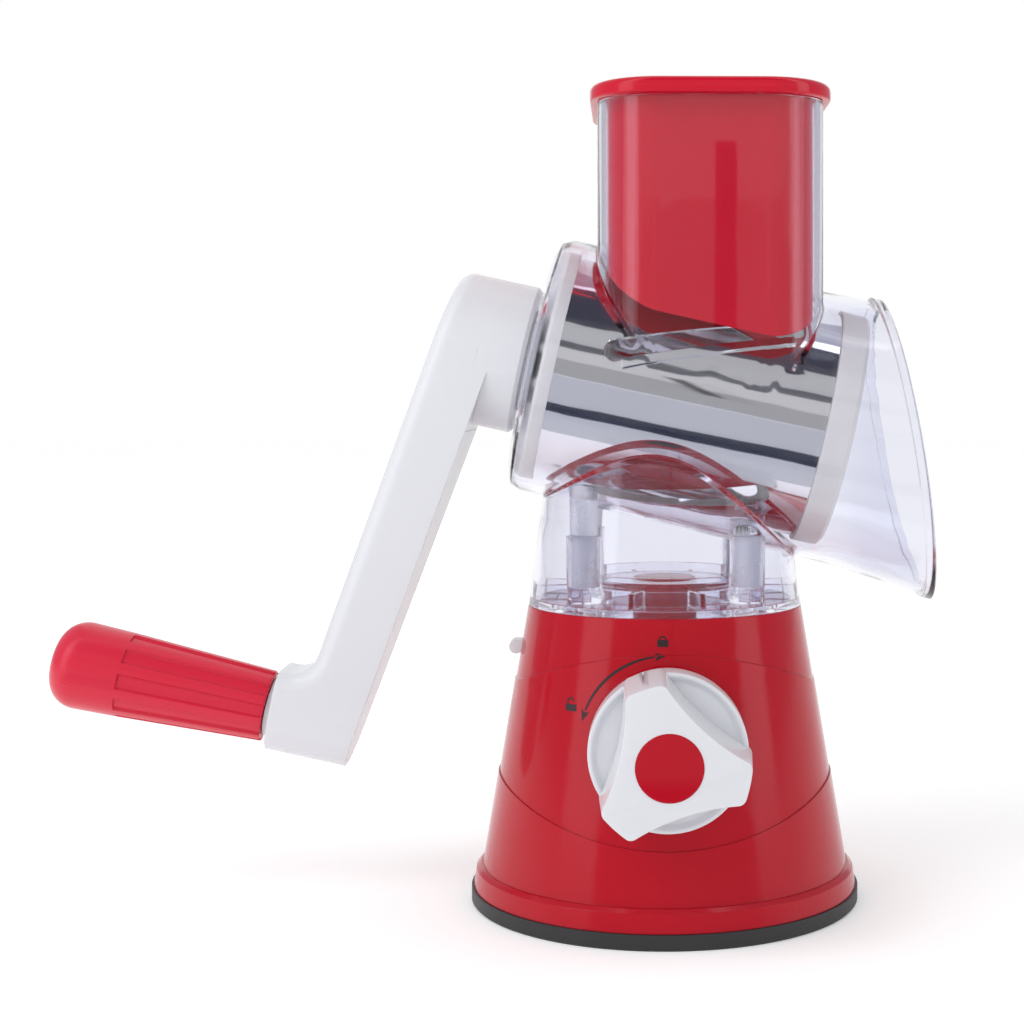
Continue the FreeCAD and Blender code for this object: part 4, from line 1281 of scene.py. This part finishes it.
@dataclass
class TurnMarks(Assembly):
    """The printed arrow beside the knob, with a closed and an open padlock at its ends."""

    radius: float = 27.2 * MM
    start: float = 91.0
    end: float = 166.0
    width: float = 0.8 * MM
    head_length: float = 3.4 * MM
    head_width: float = 2.5 * MM
    lift: float = 0.05 * MM
    thickness: float = 0.04 * MM
    arc_steps: int = 40
    thinnest: float = 0.32
    swell: float = 0.24
    head_notch: float = 0.2
    lock_size: float = 3.4 * MM
    shackle_radii: Point2 = (0.45, 0.72)
    shackle_foot: float = 0.25
    shackle_open: float = 0.75
    shackle_steps: int = 14
    before_base: float = -0.2
    middle: Vector = field(init=False, default_factory=Vector)
    locks: list[tuple[float, float, bool]] = field(
        default_factory=lambda: [(92.5, 31.6 * MM, True), (160.0, 31.8 * MM, False)]
    )

    def build(self) -> None:
        """Draws the marks flat in front of the knob's axis and lays them on the base's skin."""
        way = joint_frame("knob_turn")
        self.middle = Vector((way.translation.x, way.translation.z))
        work = Workpiece()
        self._arc(work)
        for angle, radius, closed in self.locks:
            self._padlock(work, angle, radius, closed)
        bmesh.ops.subdivide_edges(work.bm, edges=work.bm.edges[:], cuts=1, use_grid_fill=True)
        self._lay_on_skin(work)
        marks = work.piece("turn_marks", self.finishes.ink)
        thicken = marks.modifiers.new("film", "SOLIDIFY")
        thicken.thickness = self.thickness
        thicken.offset = 0
        hang(marks, "base", Slot.RED)

    def _spot(self, radius: float, angle: float) -> Vector:
        """A point about the knob's axis, angle in degrees from the right, as (x, z)."""
        a = math.radians(angle)
        return self.middle + radius * Vector((math.cos(a), math.sin(a)))

    def _face(self, work: Workpiece, points: Iterable[Vector]) -> None:
        """One flat face from points as (x, z)."""
        work.bm.faces.new([work.bm.verts.new((p.x, 0, p.y)) for p in points])

    def _arc(self, work: Workpiece) -> None:
        """The curved line, thinner toward its ends, and its two heads.

        Args:
            work: The marks' workpiece.
        """
        head = math.degrees(self.head_length / self.radius)
        low, high = self.start + head, self.end - head
        rows = []
        for i in range(self.arc_steps + 1):
            share = i / self.arc_steps
            angle = low + (high - low) * share
            half = self.width * (self.thinnest + self.swell * math.sin(math.pi * share))
            rows.append((self._spot(self.radius - half, angle), self._spot(self.radius + half, angle)))
        for (a, b), (c, d) in zip(rows, rows[1:]):
            self._face(work, (a, b, d, c))
        for tip, foot in ((self.start, low), (self.end, high)):
            inner = self._spot(self.radius - self.head_width / 2, foot)
            outer = self._spot(self.radius + self.head_width / 2, foot)
            notch = self._spot(self.radius, foot + (tip - foot) * self.head_notch)
            self._face(work, (self._spot(self.radius, tip), outer, notch))
            self._face(work, (self._spot(self.radius, tip), notch, inner))

    def _padlock(self, work: Workpiece, angle: float, radius: float, closed: bool) -> None:
        """A small padlock: a body and a shackle that stands open on one side when it isn't closed.

        Args:
            work: The marks' workpiece.
            angle: Where it stands about the knob, in degrees.
            radius: How far out it stands.
            closed: Whether its shackle is closed.
        """
        centre = self._spot(radius, angle)
        half = self.lock_size / 2
        top = self.shackle_foot
        body = [(-1, -1), (1, -1), (1, top), (-1, top)]
        self._face(work, [centre + half * Vector(p) for p in body])
        rise = top if closed else self.shackle_open
        near, far = self.shackle_radii
        outer = arc_points((0, rise), far, 180, 0, self.shackle_steps)
        inner = arc_points((0, rise), near, 180, 0, self.shackle_steps)
        for (a, b), (c, d) in zip(zip(outer, inner), list(zip(outer, inner))[1:]):
            self._face(work, [centre + half * Vector(p) for p in (a, b, d, c)])
        if not closed:
            leg = [(-far, top), (-near, top), (-near, rise), (-far, rise)]
            self._face(work, [centre + half * Vector(p) for p in leg])

    def _lay_on_skin(self, work: Workpiece) -> None:
        """Drops every point onto the base's skin from the front.

        Args:
            work: The marks' workpiece.
        """
        mesh = frame["nodes"]["base_shell"].data
        tree = BVHTree.FromPolygons([v.co for v in mesh.vertices], [p.vertices for p in mesh.polygons])
        for vert in work.bm.verts:
            eye = Vector((vert.co.x, self.before_base, vert.co.z))
            hit, normal, _, _ = tree.ray_cast(eye, Vector((0, 1, 0)))
            if hit is not None:
                vert.co = hit + normal * self.lift


@dataclass(frozen=True)
class Panel:
    """A part of a sphere round the object that only reflections see.

    Azimuth is counted from the camera's side toward the outlet, both angles in degrees.
    """

    name: str
    azimuth: Point2
    elevation: Point2
    shade: Colour
    distance: float = 1.6
    centre_height: float = 0.15
    rows: int = 8
    columns: int = 24

    def build(self) -> None:
        """Adds the panel to the studio."""
        work = Workpiece()
        shares = [j / self.columns for j in range(self.columns + 1)]
        around = [math.radians(self._between(self.azimuth, share)) for share in shares]
        grid = []
        for i in range(self.rows + 1):
            up = math.radians(self._between(self.elevation, i / self.rows))
            height = self.centre_height + self.distance * math.sin(up)
            out = self.distance * math.cos(up)
            spots = [(out * math.sin(a), -out * math.cos(a), height) for a in around]
            grid.append([work.bm.verts.new(s) for s in spots])
        for low, high in zip(grid, grid[1:]):
            for a, b, c, d in zip(low, low[1:], high[1:], high):
                work.bm.faces.new((a, b, c, d))
        only_reflected(work.piece(self.name, glowing(self.name, self.shade)))

    @staticmethod
    def _between(ends: Point2, share: float) -> float:
        """A value part of the way between two ends."""
        return ends[0] + (ends[1] - ends[0]) * share


def glowing(name: str, shade: Colour) -> bpy.types.Material:
    """A material that shines with one even shade.

    Args:
        name: The material's name.
        shade: Its colour.

    Returns:
        The material.
    """
    material, sheet = new_material(name)
    finish_surface(sheet, sheet.node("ShaderNodeEmission", {}, {"Color": shade, "Strength": 1.0}))
    return material


def only_reflected(card: bpy.types.Object) -> None:
    """Lets nothing but reflections see a card of the studio.

    Args:
        card: The card.
    """
    card.visible_camera = False
    card.visible_diffuse = False
    card.visible_shadow = False


@dataclass
class Studio:
    """A pale floor, a white surround, a soft light and the camera."""

    eye: tuple[float, float, float] = (-0.0106, -0.6059, 0.1673)
    heading: float = math.radians(-1.0)
    lens: float = 63.8
    shift: Point2 = (-0.149, -0.117)
    sensor: float = 36.0
    nearest: float = 0.02
    surround: float = 1.0
    ambient: float = 0.84
    bounces: int = 32
    floor_half: float = 6.0
    floor_shades: tuple[Colour, Colour] = ((0.955, 0.955, 0.96), (0.97, 0.97, 0.975))
    floor_glow: float = 0.17
    key_place: Colour = (-1.1, -0.8, 1.2)
    key_target: Colour = (0, 0, 0.12)
    key_size: Point2 = (0.9, 0.9)
    key_watts: float = 9.0
    gap_across: Point2 = (0.048, 0.064)
    gap_upright: Point2 = (0.21, 0.345)
    gap_shade: Colour = (0.01, 0.01, 0.012)
    card_place: float = -0.75
    card_thickness: float = 0.004
    mat_width: float = 0.8
    mat_thickness: float = 0.001
    mats: tuple[tuple[str, Point2, Colour], ...] = (
        ("far_mat", (-1.5, -0.275), (0.58, 0.58, 0.61)),
        ("dark_mat", (-0.275, -0.197), (0.03, 0.035, 0.06)),
        ("near_mat", (-0.197, -0.1), (0.62, 0.63, 0.66)),
    )
    panels: tuple[Panel, ...] = (
        Panel("front_low", (-44.0, 58.0), (-6.0, 9.0), (0.44, 0.435, 0.42)),
        Panel("front_light", (-44.0, 58.0), (9.0, 21.0), (0.66, 0.65, 0.62)),
        Panel("front_line", (-44.0, 58.0), (21.0, 27.0), (0.14, 0.14, 0.15)),
        Panel("front_high", (-44.0, 58.0), (27.0, 46.0), (0.55, 0.545, 0.525)),
        Panel("front_top", (-44.0, 58.0), (46.0, 88.0), (0.06, 0.06, 0.08)),
        Panel("left_strip", (-70.0, -44.0), (-2.0, 80.0), (1.9, 1.9, 2.0)),
        Panel("right_strip", (58.0, 80.0), (-2.0, 80.0), (1.9, 1.9, 2.0)),
        Panel("left_grey", (-150.0, -70.0), (-2.0, 80.0), (0.50, 0.50, 0.56)),
        Panel("right_grey", (80.0, 150.0), (-2.0, 80.0), (0.50, 0.50, 0.56)),
    )

    def build(self) -> None:
        """Sets up the whole studio."""
        bpy.context.scene.view_settings.view_transform = "Standard"
        cycles = bpy.context.scene.cycles
        cycles.max_bounces = self.bounces
        cycles.transmission_bounces = self.bounces
        cycles.glossy_bounces = self.bounces // 2
        cycles.transparent_max_bounces = self.bounces
        self._camera()
        self._world()
        self._floor()
        self._lamp("key_box")
        for panel in self.panels:
            panel.build()
        self._card("front_gap")
        for name, reach, shade in self.mats:
            self._mat(name, reach, shade)

    def _camera(self) -> None:
        """The camera at the photograph's place."""
        data = bpy.data.cameras.new("view")
        data.lens = self.lens
        data.sensor_width = self.sensor
        data.shift_x, data.shift_y = self.shift
        data.clip_start = self.nearest
        data.dof.use_dof = False
        eye = bpy.data.objects.new("view", data)
        eye.location = self.eye
        eye.rotation_euler = (math.pi / 2, 0, self.heading)
        bpy.context.scene.collection.objects.link(eye)
        bpy.context.scene.camera = eye

    def _world(self) -> None:
        """A white surround that lights a little less than it shows."""
        world = bpy.data.worlds.new("surround")
        bpy.context.scene.world = world
        world.use_nodes = True
        sheet = NodeSheet(world.node_tree)
        path = sheet.node("ShaderNodeLightPath")
        shown = sheet.output_of(path, "Is Camera Ray")
        for name in ("Is Glossy Ray", "Is Transmission Ray"):
            shown = shown.at_least(sheet.output_of(path, name))
        strength = self.ambient + (self.surround - self.ambient) * shown
        back = sheet.node("ShaderNodeBackground", {}, {"Color": (1.0, 1.0, 1.0), "Strength": strength})
        sheet.node("ShaderNodeOutputWorld", {}, {"Surface": back})

    def _floor(self) -> None:
        """A wide pale floor that keeps the object's shadow."""
        work = Workpiece()
        bmesh.ops.create_grid(work.bm, x_segments=1, y_segments=1, size=self.floor_half)
        material, sheet = new_material("pale_floor")
        values = {
            "Base Color": sheet.blend(sheet.noise(scale=3.0), *self.floor_shades),
            "Roughness": 0.9,
            "Emission Color": (1.0, 1.0, 1.0),
            "Emission Strength": self.floor_glow,
        }
        finish_surface(sheet, sheet.node("ShaderNodeBsdfPrincipled", {}, values))
        work.piece("floor", material)

    def _lamp(self, name: str) -> None:
        """The soft rectangular lamp, turned to its target.

        Args:
            name: The lamp's name.
        """
        data = bpy.data.lights.new(name, "AREA")
        data.shape = "RECTANGLE"
        data.size, data.size_y = self.key_size
        data.energy = self.key_watts
        lamp = bpy.data.objects.new(name, data)
        lamp.visible_glossy = False
        lamp.visible_transmission = False
        lamp.location = self.key_place
        way = Vector(self.key_target) - Vector(self.key_place)
        lamp.rotation_euler = way.to_track_quat("-Z", "Y").to_euler()
        bpy.context.scene.collection.objects.link(lamp)

    def _card(self, name: str) -> None:
        """The upright card just behind the camera, which the pusher shows as a dark band.

        Args:
            name: The card's name.
        """
        left, right = self.gap_across
        foot, top = self.gap_upright
        size = Vector((right - left, self.card_thickness, top - foot))
        middle = Vector(((left + right) / 2, self.card_place, (foot + top) / 2))
        only_reflected(Workpiece().box(size, middle).piece(name, glowing(name, self.gap_shade)))

    def _mat(self, name: str, reach: Point2, shade: Colour) -> None:
        """A strip on the floor in front of the object, which the drum shows as one of its bands.

        Args:
            name: The strip's name.
            reach: Its two ends along Y.
            shade: Its colour.
        """
        size = Vector((self.mat_width, reach[1] - reach[0], self.mat_thickness))
        work = Workpiece().box(size, Vector((0, sum(reach) / 2, self.mat_thickness)))
        only_reflected(work.piece(name, glowing(name, shade)))


def main() -> None:
    """Builds the object's looks in order."""
    logging.basicConfig(level=logging.INFO, format="%(name)s: %(message)s")
    finishes = Finishes()
    for kind in (Foot, SuctionCup, ClearBody, Drum, Crank, Grip, LockKnob, Pusher, TurnMarks):
        kind(finishes).build()
        log.info("%s built", kind.__name__)
    Studio().build()
    bpy.context.view_layer.update()


if __name__ == "__main__":
    main()
